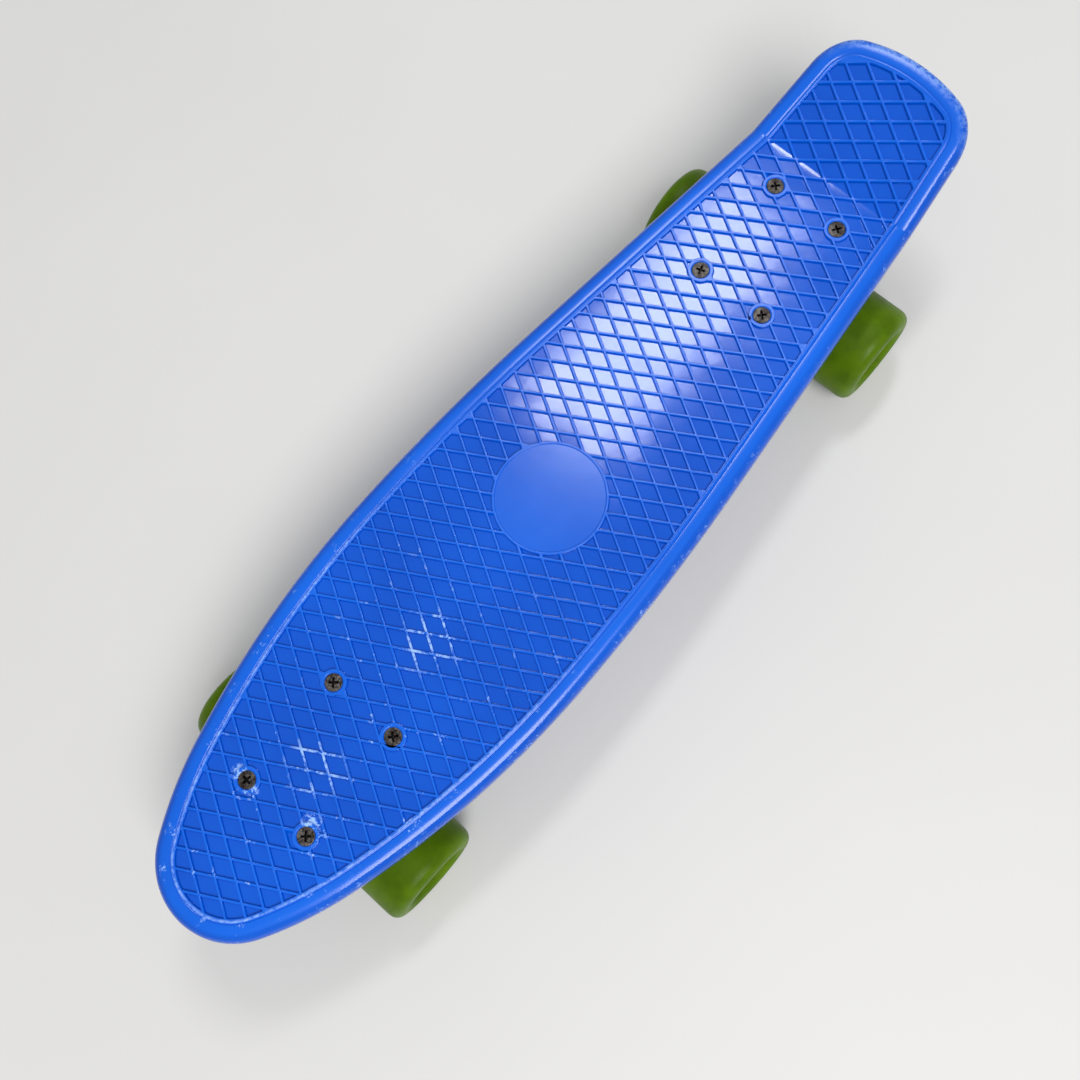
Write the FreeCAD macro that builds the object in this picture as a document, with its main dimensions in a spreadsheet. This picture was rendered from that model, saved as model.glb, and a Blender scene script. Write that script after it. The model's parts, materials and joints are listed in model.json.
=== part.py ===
import FreeCAD, Part
import math
import os

import Sketcher

# A small plastic cruiser skateboard: a moulded deck with a kicktail, two cast trucks that lean on
# urethane bushings about a tilted steering axis, and four urethane wheels on ball bearings.
# Millimetres. +X points to the nose, +Y to the rider's left, +Z up. The ground is z = 0 and the
# origin lies under the middle of the board's length.

DIMENSIONS = {
    # deck outline, seen from above
    "deck_length": 578,
    "deck_half_width": 76,
    "widest_x": 74.5,
    "side_arc": 539,
    "side_arc_angle": 15.9,
    "shoulder_arc": 208,
    "tail_arc": 1265,
    "tail_taper": 5.8,
    "tail_corner": 26,
    "tail_end_arc": 110,
    # deck section and kicktail
    "deck_top": 90,
    "rim_depth": 13,
    "rim_width": 9.5,
    "field_depth": 1.3,
    "plate_depth": 6,
    "rib_depth": 10.5,
    "rib_width": 4,
    "rib_offset": 28,
    "kick_start_x": -211.5,
    "kick_radius": 40,
    "kick_angle": 22,
    "centre_pad_x": 11,
    "centre_pad_radius": 29.25,
    "boss_radius": 7,
    # truck placing and its bolts
    "truck_mid_x": 9,
    "truck_spacing": 353,
    "bolts_long": 63.5,
    "bolts_wide": 41.3,
    "bolt_radius": 2.4,
    "bolt_hole_radius": 2.7,
    "bolt_length": 28,
    "bolt_head_radius": 4.8,
    "bolt_head_height": 2.7,
    "cross_slot_long": 5.6,
    "cross_slot_wide": 1.1,
    "cross_slot_deep": 1.8,
    "deck_nut_flats": 9.5,
    "deck_nut_height": 5,
    # baseplate
    "baseplate_length": 80,
    "baseplate_width": 55,
    "baseplate_thick": 6,
    "baseplate_corner": 9,
    "kingpin_boss_radius": 13.2,
    "kingpin_seat": 20,
    "pivot_boss_radius": 12.5,
    "pivot_boss_wall": 3,
    # kingpin stack, measured along the kingpin from the middle of the hanger's ring
    "ring_x": -6,
    "ring_drop": 31,
    "kingpin_tilt": 14,
    "kingpin_radius": 4.76,
    "kingpin_below": 26,
    "kingpin_head_low": 24,
    "kingpin_head_height": 5,
    "kingpin_flats": 14.3,
    "kingpin_nut_height": 8,
    "ring_radius": 15.5,
    "ring_hole_radius": 8.5,
    "ring_thick": 9,
    "upper_bushing_height": 14,
    "lower_bushing_height": 10.5,
    "bushing_wide_radius": 12.5,
    "bushing_narrow_radius": 10.5,
    "bushing_bore_radius": 4.9,
    "cup_washer_radius": 11.5,
    "cup_washer_thick": 1.5,
    "bushing_room": 1,
    "boss_room": 2.8,
    # steering axis, measured from the middle of the ring up to the pivot cup
    "steering_rise": 31,
    "nose_radius": 6,
    "nose_centre": 33.4,
    "cup_mouth": 29,
    "cup_floor": 39.9,
    "cup_end": 42,
    "cup_bore_radius": 6.3,
    "cup_radius": 9,
    # hanger
    "axle_out": 13,
    "axle_drop": 50,
    "beam_radius": 8.5,
    "beam_half": 39.7,
    "web_thick": 16,
    "wing_thick": 11,
    "arm_radius": 8,
    # axle and what rides on it, measured along the axle from the middle of the board
    "axle_radius": 4,
    "axle_half": 73.5,
    "washer_thick": 0.8,
    "washer_radius": 5.6,
    "axle_nut_flats": 12.7,
    "axle_nut_height": 7,
    "bearing_width": 7,
    "bearing_radius": 11,
    "bearing_gap": 10,
    "ball_radius": 1.984,
    "ball_pitch_radius": 7.5,
    "groove_radius": 2.04,
    "inner_ring_radius": 6.1,
    "outer_ring_bore": 8.9,
    "shield_radius": 9.3,
    "shield_bore": 6.4,
    "shield_inset": 0.1,
    "shield_thick": 0.4,
    "cage_thick": 1,
    "cage_width": 5.2,
    "pocket_radius": 2.03,
    "spacer_radius": 5.4,
    # wheel
    "wheel_radius": 29.5,
    "wheel_inner": 32,
    "wheel_outer": 77,
    "wheel_lip": 6.5,
    "wheel_face_radius": 18.5,
    "wheel_throat_radius": 12.5,
    "wheel_web_bore": 9.2,
}

BALLS = 7
SIDES = (-1, 1)

os.makedirs("parts", exist_ok=True)
doc = FreeCAD.newDocument("cruiser")
sheet = doc.addObject("Spreadsheet::Sheet", "dims")
for row, (alias, value) in enumerate(DIMENSIONS.items(), start=1):
    sheet.set(f"A{row}", alias)
    sheet.set(f"B{row}", str(value))
    sheet.setAlias(f"B{row}", alias)
doc.recompute()

NODES = []
V = FreeCAD.Vector
X_AXIS = V(1, 0, 0)
Y_AXIS = V(0, 1, 0)
Z_AXIS = V(0, 0, 1)


def size(alias):
    """A driving dimension, read from the sheet."""
    return float(sheet.get(alias))


def bind(item, **expressions):
    for name, expression in expressions.items():
        item.setExpression(name, str(expression))
    return item


def turned(axis, degrees, x=0.0, y=0.0, z=0.0):
    return FreeCAD.Placement(V(x, y, z), FreeCAD.Rotation(axis, degrees))


def node(item, label, placement=None):
    """Names a finished sub-part and puts it where it belongs on the board."""
    item.Label = label
    if placement is not None:
        item.Placement = placement
    NODES.append(item)
    return item


# Part primitives and booleans

def cylinder(radius, height, base="0"):
    """A cylinder along Z that starts at the height base."""
    item = bind(doc.addObject("Part::Cylinder", "cylinder"), Radius=radius, Height=height)
    item.setExpression("Placement.Base.z", base)
    return item


def cone(low_radius, high_radius, height, base="0"):
    item = bind(doc.addObject("Part::Cone", "cone"), Radius1=low_radius, Radius2=high_radius, Height=height)
    item.setExpression("Placement.Base.z", base)
    return item


def hexagon(flats, height, base="0"):
    """A hexagonal prism given by its width across flats."""
    item = bind(doc.addObject("Part::Prism", "hexagon"), Circumradius=f"({flats}) / 2 / cos(30)", Height=height)
    item.Polygon = 6
    item.setExpression("Placement.Base.z", base)
    return item


def block(long, wide, high, x="0", y="0", z="0"):
    """A box centred on x and y that starts at the height z."""
    item = bind(doc.addObject("Part::Box", "block"), Length=long, Width=wide, Height=high)
    item.setExpression("Placement.Base.x", f"{x} - ({long}) / 2")
    item.setExpression("Placement.Base.y", f"{y} - ({wide}) / 2")
    item.setExpression("Placement.Base.z", z)
    return item


def fuse(items, label="fuse"):
    result = doc.addObject("Part::MultiFuse", label)
    result.Shapes = items
    result.Refine = True
    return result


def common(first, second, label="common"):
    result = doc.addObject("Part::Common", label)
    result.Base = first
    result.Tool = second
    return result


def cut(base, *tools, label="cut"):
    """The base with every tool taken away."""
    result = base
    for tool in tools:
        step = doc.addObject("Part::Cut", label)
        step.Base = result
        step.Tool = tool
        result = step
    return result


def group(items, label="group"):
    result = doc.addObject("Part::Compound", label)
    result.Links = items
    return result


def placed(item, placement):
    item.Placement = placement
    return item


def tube(outer, inner, height, base="0"):
    return cut(cylinder(outer, height, base), cylinder(inner, height, base))


# PartDesign bodies and sketches

def sketch_in(body, role, name):
    """A sketch on one of the body's own origin planes."""
    sketch = body.newObject("Sketcher::SketchObject", name)
    plane = [item for item in body.Origin.OriginFeatures if item.Role == role][0]
    sketch.AttachmentSupport = [(plane, "")]
    sketch.MapMode = "FlatFace"
    return sketch


def drive(sketch, kind, name, expression, *where):
    """Adds a dimension to the sketch and binds it to an expression of the sheet."""
    index = sketch.addConstraint(Sketcher.Constraint(kind, *where, float(sheet.evalExpression(str(expression)))))
    sketch.renameConstraint(index, name)
    sketch.setExpression(f"Constraints.{name}", str(expression))


def drive_point(sketch, name, edge, point, x, y):
    drive(sketch, "DistanceX", name + "_x", x, -1, 1, edge, point)
    drive(sketch, "DistanceY", name + "_y", y, -1, 1, edge, point)


def polygon(sketch, corners):
    """A closed outline of straight edges whose corners are pairs of expressions."""
    count = len(corners)
    ring = [V(math.cos(2 * math.pi * i / count), math.sin(2 * math.pi * i / count), 0) for i in range(count)]
    for i in range(count):
        sketch.addGeometry(Part.LineSegment(ring[i], ring[(i + 1) % count]))
    for i in range(count):
        sketch.addConstraint(Sketcher.Constraint("Coincident", i, 2, (i + 1) % count, 1))
    for i, (x, y) in enumerate(corners):
        drive_point(sketch, f"corner_{i}", i, 1, x, y)


def pad_both_ways(body, sketch, length):
    pad = body.newObject("PartDesign::Pad", "pad")
    pad.Profile = sketch
    pad.Midplane = True
    pad.setExpression("Length", length)
    body.Tip = pad
    return pad


def revolved(label, corners):
    """A body turned about Z from corners of radius and height."""
    body = doc.addObject("PartDesign::Body", label)
    sketch = sketch_in(body, "XZ_Plane", "section")
    polygon(sketch, corners)
    turn = body.newObject("PartDesign::Revolution", "turn")
    turn.Profile = sketch
    turn.ReferenceAxis = (sketch, ["V_Axis"])
    turn.Angle = 360
    body.Tip = turn
    return body, turn


def padded_polygon(label, role, corners, thick):
    """A flat plate, centred on the named origin plane."""
    body = doc.addObject("PartDesign::Body", label)
    sketch = sketch_in(body, role, "outline")
    polygon(sketch, corners)
    pad_both_ways(body, sketch, thick)
    return body


# The deck

def arc(sketch, centre, radius, start_degrees, end_degrees):
    circle = Part.Circle(V(centre[0], centre[1], 0), Z_AXIS, radius)
    return sketch.addGeometry(Part.ArcOfCircle(circle, math.radians(start_degrees), math.radians(end_degrees)))


def plan_prism(label, inset):
    """A tall prism on the deck's outline, moved inwards by a dimension named inset.

    Half the outline is drawn: from the nose's tip a small arc centred on the middle line, a shoulder
    arc, a side arc up to the widest point, a long tail arc, a straight taper, a corner and the tail's
    slightly bowed end, whose centre is on the middle line too. The mirror makes the other half.
    """
    body = doc.addObject("PartDesign::Body", label)
    sketch = sketch_in(body, "XY_Plane", "half_outline")
    inward = size(inset) if inset else 0.0
    less = f"dims.{inset}" if inset else "0"
    tip = size("deck_length") / 2
    widest = size("widest_x")
    half = size("deck_half_width")
    side = size("side_arc")
    side_angle = size("side_arc_angle")
    shoulder = size("shoulder_arc")
    tail = size("tail_arc")
    taper = size("tail_taper")
    corner = size("tail_corner")

    # centres of the arcs, the same for every inset
    lean = math.radians(side_angle)
    side_centre = (widest, half - side)
    shoulder_centre = (
        widest + (side - shoulder) * math.sin(lean),
        side_centre[1] + (side - shoulder) * math.cos(lean),
    )
    back = shoulder_centre[0] - tip
    nose = (shoulder**2 - back**2 - shoulder_centre[1]**2) / (2 * (back + shoulder))
    nose_centre = (tip - nose, 0.0)
    nose_end = math.degrees(math.atan2(-shoulder_centre[1], nose_centre[0] - shoulder_centre[0]))
    slope = math.radians(taper)
    tail_end = (widest - tail * math.sin(slope), half - tail + tail * math.cos(slope))
    # the corner's centre: one radius below the taper, and inside the arc of the tail's end
    bow = size("tail_end_arc")
    along = V(-math.cos(slope), -math.sin(slope), 0)
    inner = V(math.sin(slope), -math.cos(slope), 0)
    bow_centre = V(bow - tip, 0, 0)
    offset_start = V(tail_end[0], tail_end[1], 0) + inner * corner
    gap = offset_start - bow_centre
    run = math.sqrt(gap.dot(along) ** 2 - gap.dot(gap) + (bow - corner) ** 2) - gap.dot(along)
    corner_centre = offset_start + along * run
    towards = corner_centre - bow_centre
    corner_end = math.degrees(math.atan2(towards.y, towards.x))

    nose_arc = arc(sketch, nose_centre, nose - inward, 0, nose_end)
    shoulder_arc = arc(sketch, shoulder_centre, shoulder - inward, nose_end, 90 - side_angle)
    side_arc = arc(sketch, side_centre, side - inward, 90 - side_angle, 90)
    tail_arc = arc(sketch, (widest, half - tail), tail - inward, 90, 90 + taper)
    straight_start = V(tail_end[0], tail_end[1], 0) + inner * inward
    straight_end = corner_centre - inner * (corner - inward)
    straight = sketch.addGeometry(Part.LineSegment(straight_start, straight_end))
    corner_arc = arc(sketch, corner_centre, corner - inward, 90 + taper, corner_end)
    end_arc = arc(sketch, bow_centre, bow - inward, corner_end, 180)
    middle = sketch.addGeometry(Part.LineSegment(V(inward - tip, 0, 0), V(tip - inward, 0, 0)))

    chain = [nose_arc, shoulder_arc, side_arc, tail_arc, straight, corner_arc, end_arc]
    for first, second in zip(chain, chain[1:]):
        sketch.addConstraint(Sketcher.Constraint("Tangent", first, 2, second, 1))
    sketch.addConstraint(Sketcher.Constraint("Coincident", end_arc, 2, middle, 1))
    sketch.addConstraint(Sketcher.Constraint("Coincident", middle, 2, nose_arc, 1))
    sketch.addConstraint(Sketcher.Constraint("PointOnObject", nose_arc, 3, -1))
    sketch.addConstraint(Sketcher.Constraint("PointOnObject", end_arc, 3, -1))
    drive_point(sketch, "tip", nose_arc, 1, f"dims.deck_length / 2 - {less}", "0")
    drive_point(sketch, "tail_middle", end_arc, 2, f"{less} - dims.deck_length / 2", "0")
    drive_point(sketch, "widest", side_arc, 2, "dims.widest_x", f"dims.deck_half_width - {less}")
    drive(sketch, "DistanceX", "side_centre_x", "dims.widest_x", -1, 1, side_arc, 3)
    drive(sketch, "DistanceX", "side_start_x",
          f"dims.widest_x + (dims.side_arc - {less}) * sin(dims.side_arc_angle)", -1, 1, side_arc, 1)
    drive(sketch, "DistanceX", "taper_start_x",
          f"dims.widest_x - (dims.tail_arc - {less}) * sin(dims.tail_taper)", -1, 1, tail_arc, 2)
    drive(sketch, "Radius", "side_radius", f"dims.side_arc - {less}", side_arc)
    drive(sketch, "Radius", "shoulder_radius", f"dims.shoulder_arc - {less}", shoulder_arc)
    drive(sketch, "Radius", "tail_radius", f"dims.tail_arc - {less}", tail_arc)
    drive(sketch, "Radius", "corner_radius", f"dims.tail_corner - {less}", corner_arc)
    drive(sketch, "Radius", "end_radius", f"dims.tail_end_arc - {less}", end_arc)

    pad_both_ways(body, sketch, "4 * dims.deck_top")
    mirror = body.newObject("PartDesign::Mirrored", "other_half")
    mirror.Originals = [body.Tip]
    mirror.MirrorPlane = (sketch, ["H_Axis"])
    body.Tip = mirror
    return body


def profile_band(label, top, bottom):
    """The layer of the deck between two depths below its top, following the kicktail's bend."""
    body = doc.addObject("PartDesign::Body", label)
    sketch = sketch_in(body, "XZ_Plane", "side_profile")
    start = size("kick_start_x")
    radius = size("kick_radius")
    angle = size("kick_angle")
    level = size("deck_top")
    reach = size("deck_length")
    edges = {}
    for name, depth_expression, depth in (("top", *top), ("bottom", *bottom)):
        bend = radius + depth
        bend_end = V(
            start - bend * math.sin(math.radians(angle)), level + radius - bend * math.cos(math.radians(angle)), 0
        )
        run = bend_end.x + reach
        tail = V(-reach, bend_end.y + run * math.tan(math.radians(angle)), 0)
        flat = sketch.addGeometry(Part.LineSegment(V(reach, level - depth, 0), V(start, level - depth, 0)))
        curve = arc(sketch, (start, level + radius), bend, -90 - angle, -90)
        kick = sketch.addGeometry(Part.LineSegment(bend_end, tail))
        sketch.addConstraint(Sketcher.Constraint("Horizontal", flat))
        sketch.addConstraint(Sketcher.Constraint("Tangent", flat, 2, curve, 2))
        sketch.addConstraint(Sketcher.Constraint("Tangent", curve, 1, kick, 1))
        drive_point(sketch, name + "_nose", flat, 1, "dims.deck_length", f"dims.deck_top - {depth_expression}")
        drive(sketch, "DistanceX", name + "_bend_x", "dims.kick_start_x", -1, 1, curve, 3)
        drive(sketch, "Radius", name + "_bend", f"dims.kick_radius + {depth_expression}", curve)
        drive(sketch, "DistanceX", name + "_kick_x",
              f"dims.kick_start_x - (dims.kick_radius + {depth_expression}) * sin(dims.kick_angle)",
              -1, 1, curve, 1)
        drive(sketch, "DistanceX", name + "_tail_x", "-dims.deck_length", -1, 1, kick, 2)
        edges[name] = (flat, kick, V(reach, level - depth, 0), tail)
    nose_end = sketch.addGeometry(Part.LineSegment(edges["top"][2], edges["bottom"][2]))
    tail_end = sketch.addGeometry(Part.LineSegment(edges["top"][3], edges["bottom"][3]))
    for line, near, point in ((nose_end, 0, 1), (tail_end, 1, 2)):
        sketch.addConstraint(Sketcher.Constraint("Coincident", line, 1, edges["top"][near], point))
        sketch.addConstraint(Sketcher.Constraint("Coincident", line, 2, edges["bottom"][near], point))
    pad_both_ways(body, sketch, "4 * dims.deck_half_width")
    return body


def deck_layer(label, top, bottom, inset):
    return common(profile_band(label + "_band", top, bottom), plan_prism(label + "_plan", inset), label)


def depth(alias):
    """A depth below the deck's top, as an expression and as a number."""
    return (f"dims.{alias}", size(alias))


def above_top():
    """A level clear above the deck's top."""
    return ("(-dims.rim_depth)", -size("rim_depth"))


def below_rim():
    """A level clear below the rim."""
    return ("2 * dims.rim_depth", 2 * size("rim_depth"))


def bolt_places():
    """The eight bolt centres, as expressions of the sheet."""
    places = []
    for end in SIDES:
        for along in SIDES:
            for across in SIDES:
                x = f"dims.truck_mid_x + {end} * dims.truck_spacing / 2 + {along} * dims.bolts_long / 2"
                places.append((x, f"{across} * dims.bolts_wide / 2"))
    return places


def at_place(item, place):
    item.setExpression("Placement.Base.x", place[0])
    item.setExpression("Placement.Base.y", place[1])
    return item


def make_deck():
    blank = deck_layer("deck_blank", ("0", 0.0), depth("rim_depth"), None)

    # the sunk field of the top leaves the rim, the round centre pad and the bolt bosses standing
    islands = [cylinder("dims.centre_pad_radius", "2 * dims.deck_top")]
    islands[0].setExpression("Placement.Base.x", "dims.centre_pad_x")
    for place in bolt_places():
        islands.append(at_place(cylinder("dims.boss_radius", "2 * dims.deck_top"), place))
    field = cut(deck_layer("field_layer", above_top(), depth("field_depth"), "rim_width"), fuse(islands))

    # the underside is hollow between the skirt, the ribs and the flat truck pads
    middle = "dims.truck_mid_x"
    ribs = [block("dims.deck_length", "dims.rib_width", "2 * dims.deck_top", y=f"{i} * dims.rib_offset")
            for i in (-1, 0, 1)]
    for i in range(-4, 5):
        x = f"{middle} + {i} * dims.truck_spacing / 6"
        ribs.append(block("dims.rib_width", "2 * dims.deck_half_width", "2 * dims.deck_top", x=x))
    for end in SIDES:
        x = f"{middle} + {end} * dims.truck_spacing / 2"
        ribs.append(block("dims.baseplate_length + 2 * dims.rib_width",
                          "dims.baseplate_width + 2 * dims.rib_width", "2 * dims.deck_top", x=x))
    rib_layer = common(profile_band("rib_band", ("0", 0.0), depth("rib_depth")), fuse(ribs), "rib_layer")
    hollow = cut(deck_layer("hollow_layer", depth("plate_depth"), below_rim(), "rim_width"), rib_layer)

    holes = []
    for place in bolt_places():
        holes.append(at_place(cylinder("dims.bolt_hole_radius", "2 * dims.deck_top"), place))
        sink = cone("dims.bolt_radius", "dims.bolt_head_radius", "dims.bolt_head_height",
                    "dims.deck_top - dims.bolt_head_height")
        holes.append(at_place(sink, place))
    node(cut(blank, field, hollow, fuse(holes)), "deck")


# The trucks. Each is drawn with x pointing outwards to the end of the board, and z = 0 on the
# face of the baseplate that meets the deck.

def truck_place(end):
    x = size("truck_mid_x") + end * size("truck_spacing") / 2
    z = size("deck_top") - size("rib_depth")
    return turned(Z_AXIS, 0 if end > 0 else 180, x=x, z=z)


def stack_place():
    """The kingpin's line, with the origin in the middle of the hanger's ring."""
    return turned(Y_AXIS, size("kingpin_tilt"), x=size("ring_x"), z=-size("ring_drop"))


def steering_place():
    """The steering axis, which rises from the ring to the pivot cup."""
    return turned(Y_AXIS, 90 - size("steering_rise"), x=size("ring_x"), z=-size("ring_drop"))


def axle_place():
    return turned(X_AXIS, -90, x=size("axle_out"), z=-size("axle_drop"))


def below_deck(item):
    """Only what lies under the deck's face."""
    room = block("2 * dims.baseplate_length", "2 * dims.baseplate_width", "2 * dims.axle_drop",
                 z="-2 * dims.axle_drop")
    return common(item, room)


def make_baseplate(end_name, place):
    body = doc.addObject("PartDesign::Body", "baseplate_slab_" + end_name)
    sketch = sketch_in(body, "XY_Plane", "outline")
    corners = [(f"{i} * dims.baseplate_length / 2", f"{j} * dims.baseplate_width / 2")
               for i, j in ((-1, -1), (1, -1), (1, 1), (-1, 1))]
    polygon(sketch, corners)
    pad = body.newObject("PartDesign::Pad", "slab")
    pad.Profile = sketch
    pad.Reversed = True
    pad.setExpression("Length", "dims.baseplate_thick")
    body.Tip = pad
    doc.recompute()
    upright = []
    for index, edge in enumerate(pad.Shape.Edges, start=1):
        if abs(edge.Vertexes[0].Z - edge.Vertexes[-1].Z) > size("baseplate_thick") / 2:
            upright.append(f"Edge{index}")
    rounds = body.newObject("PartDesign::Fillet", "corners")
    rounds.Base = (pad, upright)
    rounds.setExpression("Radius", "dims.baseplate_corner")
    body.Tip = rounds

    kingpin_boss = group([cone("dims.kingpin_boss_radius", "1.4 * dims.kingpin_boss_radius",
                               "dims.ring_drop", "dims.kingpin_seat")])
    kingpin_boss = placed(kingpin_boss, stack_place())
    pivot_boss = group([cylinder("dims.pivot_boss_radius",
                                 "dims.cup_end + dims.pivot_boss_wall - dims.cup_mouth", "dims.cup_mouth")])
    pivot_boss = placed(pivot_boss, steering_place())
    solid = below_deck(fuse([body, kingpin_boss, pivot_boss]))

    bolt_holes = []
    for along in SIDES:
        for across in SIDES:
            hole = cylinder("dims.bolt_hole_radius", "2 * dims.baseplate_thick", "-2 * dims.baseplate_thick")
            at = (f"{along} * dims.bolts_long / 2", f"{across} * dims.bolts_wide / 2")
            bolt_holes.append(at_place(hole, at))
    kingpin_hole = group([
        cylinder("dims.kingpin_radius", "dims.ring_drop", "dims.kingpin_seat - dims.bushing_room"),
        hexagon("dims.kingpin_flats", "dims.ring_drop", "dims.kingpin_head_low"),
    ])
    kingpin_hole = placed(kingpin_hole, stack_place())
    cup_hole = group([cylinder("dims.cup_radius", "dims.cup_end - dims.cup_mouth + dims.bushing_room",
                               "dims.cup_mouth - dims.bushing_room")])
    cup_hole = placed(cup_hole, steering_place())
    node(cut(solid, fuse(bolt_holes), kingpin_hole, cup_hole), "baseplate_" + end_name, place)


def make_kingpin_stack(end_name, place):
    """Everything threaded on the kingpin, and the kingpin itself."""
    here = place * stack_place()
    half_ring = "dims.ring_thick / 2"
    shank = cylinder("dims.kingpin_radius", "dims.kingpin_below + dims.kingpin_head_low", "-dims.kingpin_below")
    head = hexagon("dims.kingpin_flats", "dims.kingpin_head_height", "dims.kingpin_head_low")
    node(fuse([shank, head]), "kingpin_" + end_name, here)

    upper = cut(
        cone("dims.bushing_wide_radius", "dims.cup_washer_radius", "dims.upper_bushing_height", half_ring),
        cylinder("dims.bushing_bore_radius", "dims.upper_bushing_height", half_ring),
    )
    node(upper, "upper_bushing_" + end_name, here)

    low_end = f"-({half_ring} + dims.lower_bushing_height)"
    lower = cut(
        cone("dims.bushing_narrow_radius", "dims.bushing_wide_radius", "dims.lower_bushing_height", low_end),
        cylinder("dims.bushing_bore_radius", "dims.lower_bushing_height", low_end),
    )
    node(lower, "lower_bushing_" + end_name, here)

    washers = [
        tube("dims.cup_washer_radius", "dims.bushing_bore_radius", "dims.cup_washer_thick",
             f"{half_ring} + dims.upper_bushing_height"),
        tube("dims.cup_washer_radius", "dims.bushing_bore_radius", "dims.cup_washer_thick",
             f"{low_end} - dims.cup_washer_thick"),
    ]
    node(group(washers), "kingpin_washers_" + end_name, here)

    nut_low = f"{low_end} - dims.cup_washer_thick - dims.kingpin_nut_height"
    nut = cut(hexagon("dims.kingpin_flats", "dims.kingpin_nut_height", nut_low),
              cylinder("dims.kingpin_radius", "dims.kingpin_nut_height", nut_low))
    node(nut, "kingpin_nut_" + end_name, here)

    cup = cut(
        cylinder("dims.cup_radius", "dims.cup_end - dims.cup_mouth", "dims.cup_mouth"),
        cylinder("dims.cup_bore_radius", "dims.cup_floor - dims.cup_mouth", "dims.cup_mouth"),
    )
    node(cup, "pivot_cup_" + end_name, place * steering_place())


def along_steering(distance, offset):
    """A point of the side view, as expressions: so far up the steering axis, so far above it."""
    x = f"dims.ring_x + {distance} * cos(dims.steering_rise) - ({offset}) * sin(dims.steering_rise)"
    z = f"-dims.ring_drop + {distance} * sin(dims.steering_rise) + ({offset}) * cos(dims.steering_rise)"
    return (x, z)


def make_hanger(end_name, place):
    # a web in the side view joins the ring, the arm to the pivot nose and the axle beam
    axle_x = "dims.axle_out"
    axle_z = "-dims.axle_drop"
    web = padded_polygon("hanger_web_" + end_name, "XZ_Plane", [
        (f"{axle_x} - dims.beam_radius", f"{axle_z} + dims.beam_radius / 2"),
        ("dims.ring_x + dims.ring_radius / 2", "-dims.ring_drop - dims.ring_thick / 2"),
        ("dims.ring_x + dims.ring_radius / 2", "-dims.ring_drop + dims.ring_thick / 2"),
        along_steering("(dims.cup_mouth - 2)", "0.7 * dims.arm_radius"),
        along_steering("(dims.cup_mouth - 2)", "-0.7 * dims.arm_radius"),
        (f"{axle_x} + dims.beam_radius", f"{axle_z} + dims.beam_radius / 2"),
        (f"{axle_x} + dims.beam_radius / 2", f"{axle_z} - dims.beam_radius / 2"),
        (f"{axle_x} - dims.beam_radius / 2", f"{axle_z} - dims.beam_radius / 2"),
    ], "dims.web_thick")
    # wings run down from the web to both ends of the beam
    wings = padded_polygon("hanger_wings_" + end_name, "YZ_Plane", [
        ("-0.9 * dims.beam_half", axle_z),
        ("0.9 * dims.beam_half", axle_z),
        ("0.9 * dims.beam_half", f"{axle_z} + 0.7 * dims.beam_radius"),
        ("dims.web_thick", "-dims.ring_drop - dims.ring_thick / 2"),
        ("-dims.web_thick", "-dims.ring_drop - dims.ring_thick / 2"),
        ("-0.9 * dims.beam_half", f"{axle_z} + 0.7 * dims.beam_radius"),
    ], "dims.wing_thick")
    wings.Placement = turned(Z_AXIS, 0, x=size("axle_out"))
    beam = group([cylinder("dims.beam_radius", "2 * dims.beam_half", "-dims.beam_half")])
    beam = placed(beam, axle_place())
    arm = group([cone("dims.arm_radius", "0.8 * dims.arm_radius", "dims.cup_mouth / 2 - 1", "dims.cup_mouth / 2")])
    arm = placed(arm, steering_place())
    tip = doc.addObject("Part::Sphere", "nose_tip")
    bind(tip, Radius="dims.nose_radius")
    tip.setExpression("Placement.Base.z", "dims.nose_centre")
    nose_start = "dims.cup_mouth - dims.nose_radius / 2"
    nose = fuse([cylinder("dims.nose_radius", f"dims.nose_centre - ({nose_start})", nose_start), tip])
    nose = placed(nose, steering_place())
    casting = fuse([web, wings, beam, arm, nose])

    # room for the bushings, washers and nut on both sides of the ring, and for the baseplate's boss
    room = group([
        cylinder("dims.kingpin_boss_radius + dims.boss_room", "dims.ring_drop",
                 "dims.kingpin_seat - dims.boss_room"),
        cylinder("dims.bushing_wide_radius + dims.bushing_room", "dims.ring_drop", "dims.ring_thick / 2"),
        cylinder("dims.bushing_wide_radius + dims.bushing_room", "dims.ring_drop",
                 "-dims.ring_thick / 2 - dims.ring_drop"),
    ])
    room = placed(room, stack_place())
    ring = group([cylinder("dims.ring_radius", "dims.ring_thick", "-dims.ring_thick / 2")])
    ring = placed(ring, stack_place())
    solid = fuse([cut(casting, room), ring])

    ring_hole = placed(group([cylinder("dims.ring_hole_radius", "2 * dims.ring_thick", "-dims.ring_thick")]),
                       stack_place())
    axle_hole = placed(group([cylinder("dims.axle_radius", "4 * dims.beam_half", "-2 * dims.beam_half")]),
                       axle_place())
    node(cut(solid, ring_hole, axle_hole), "hanger_" + end_name, place)


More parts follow.
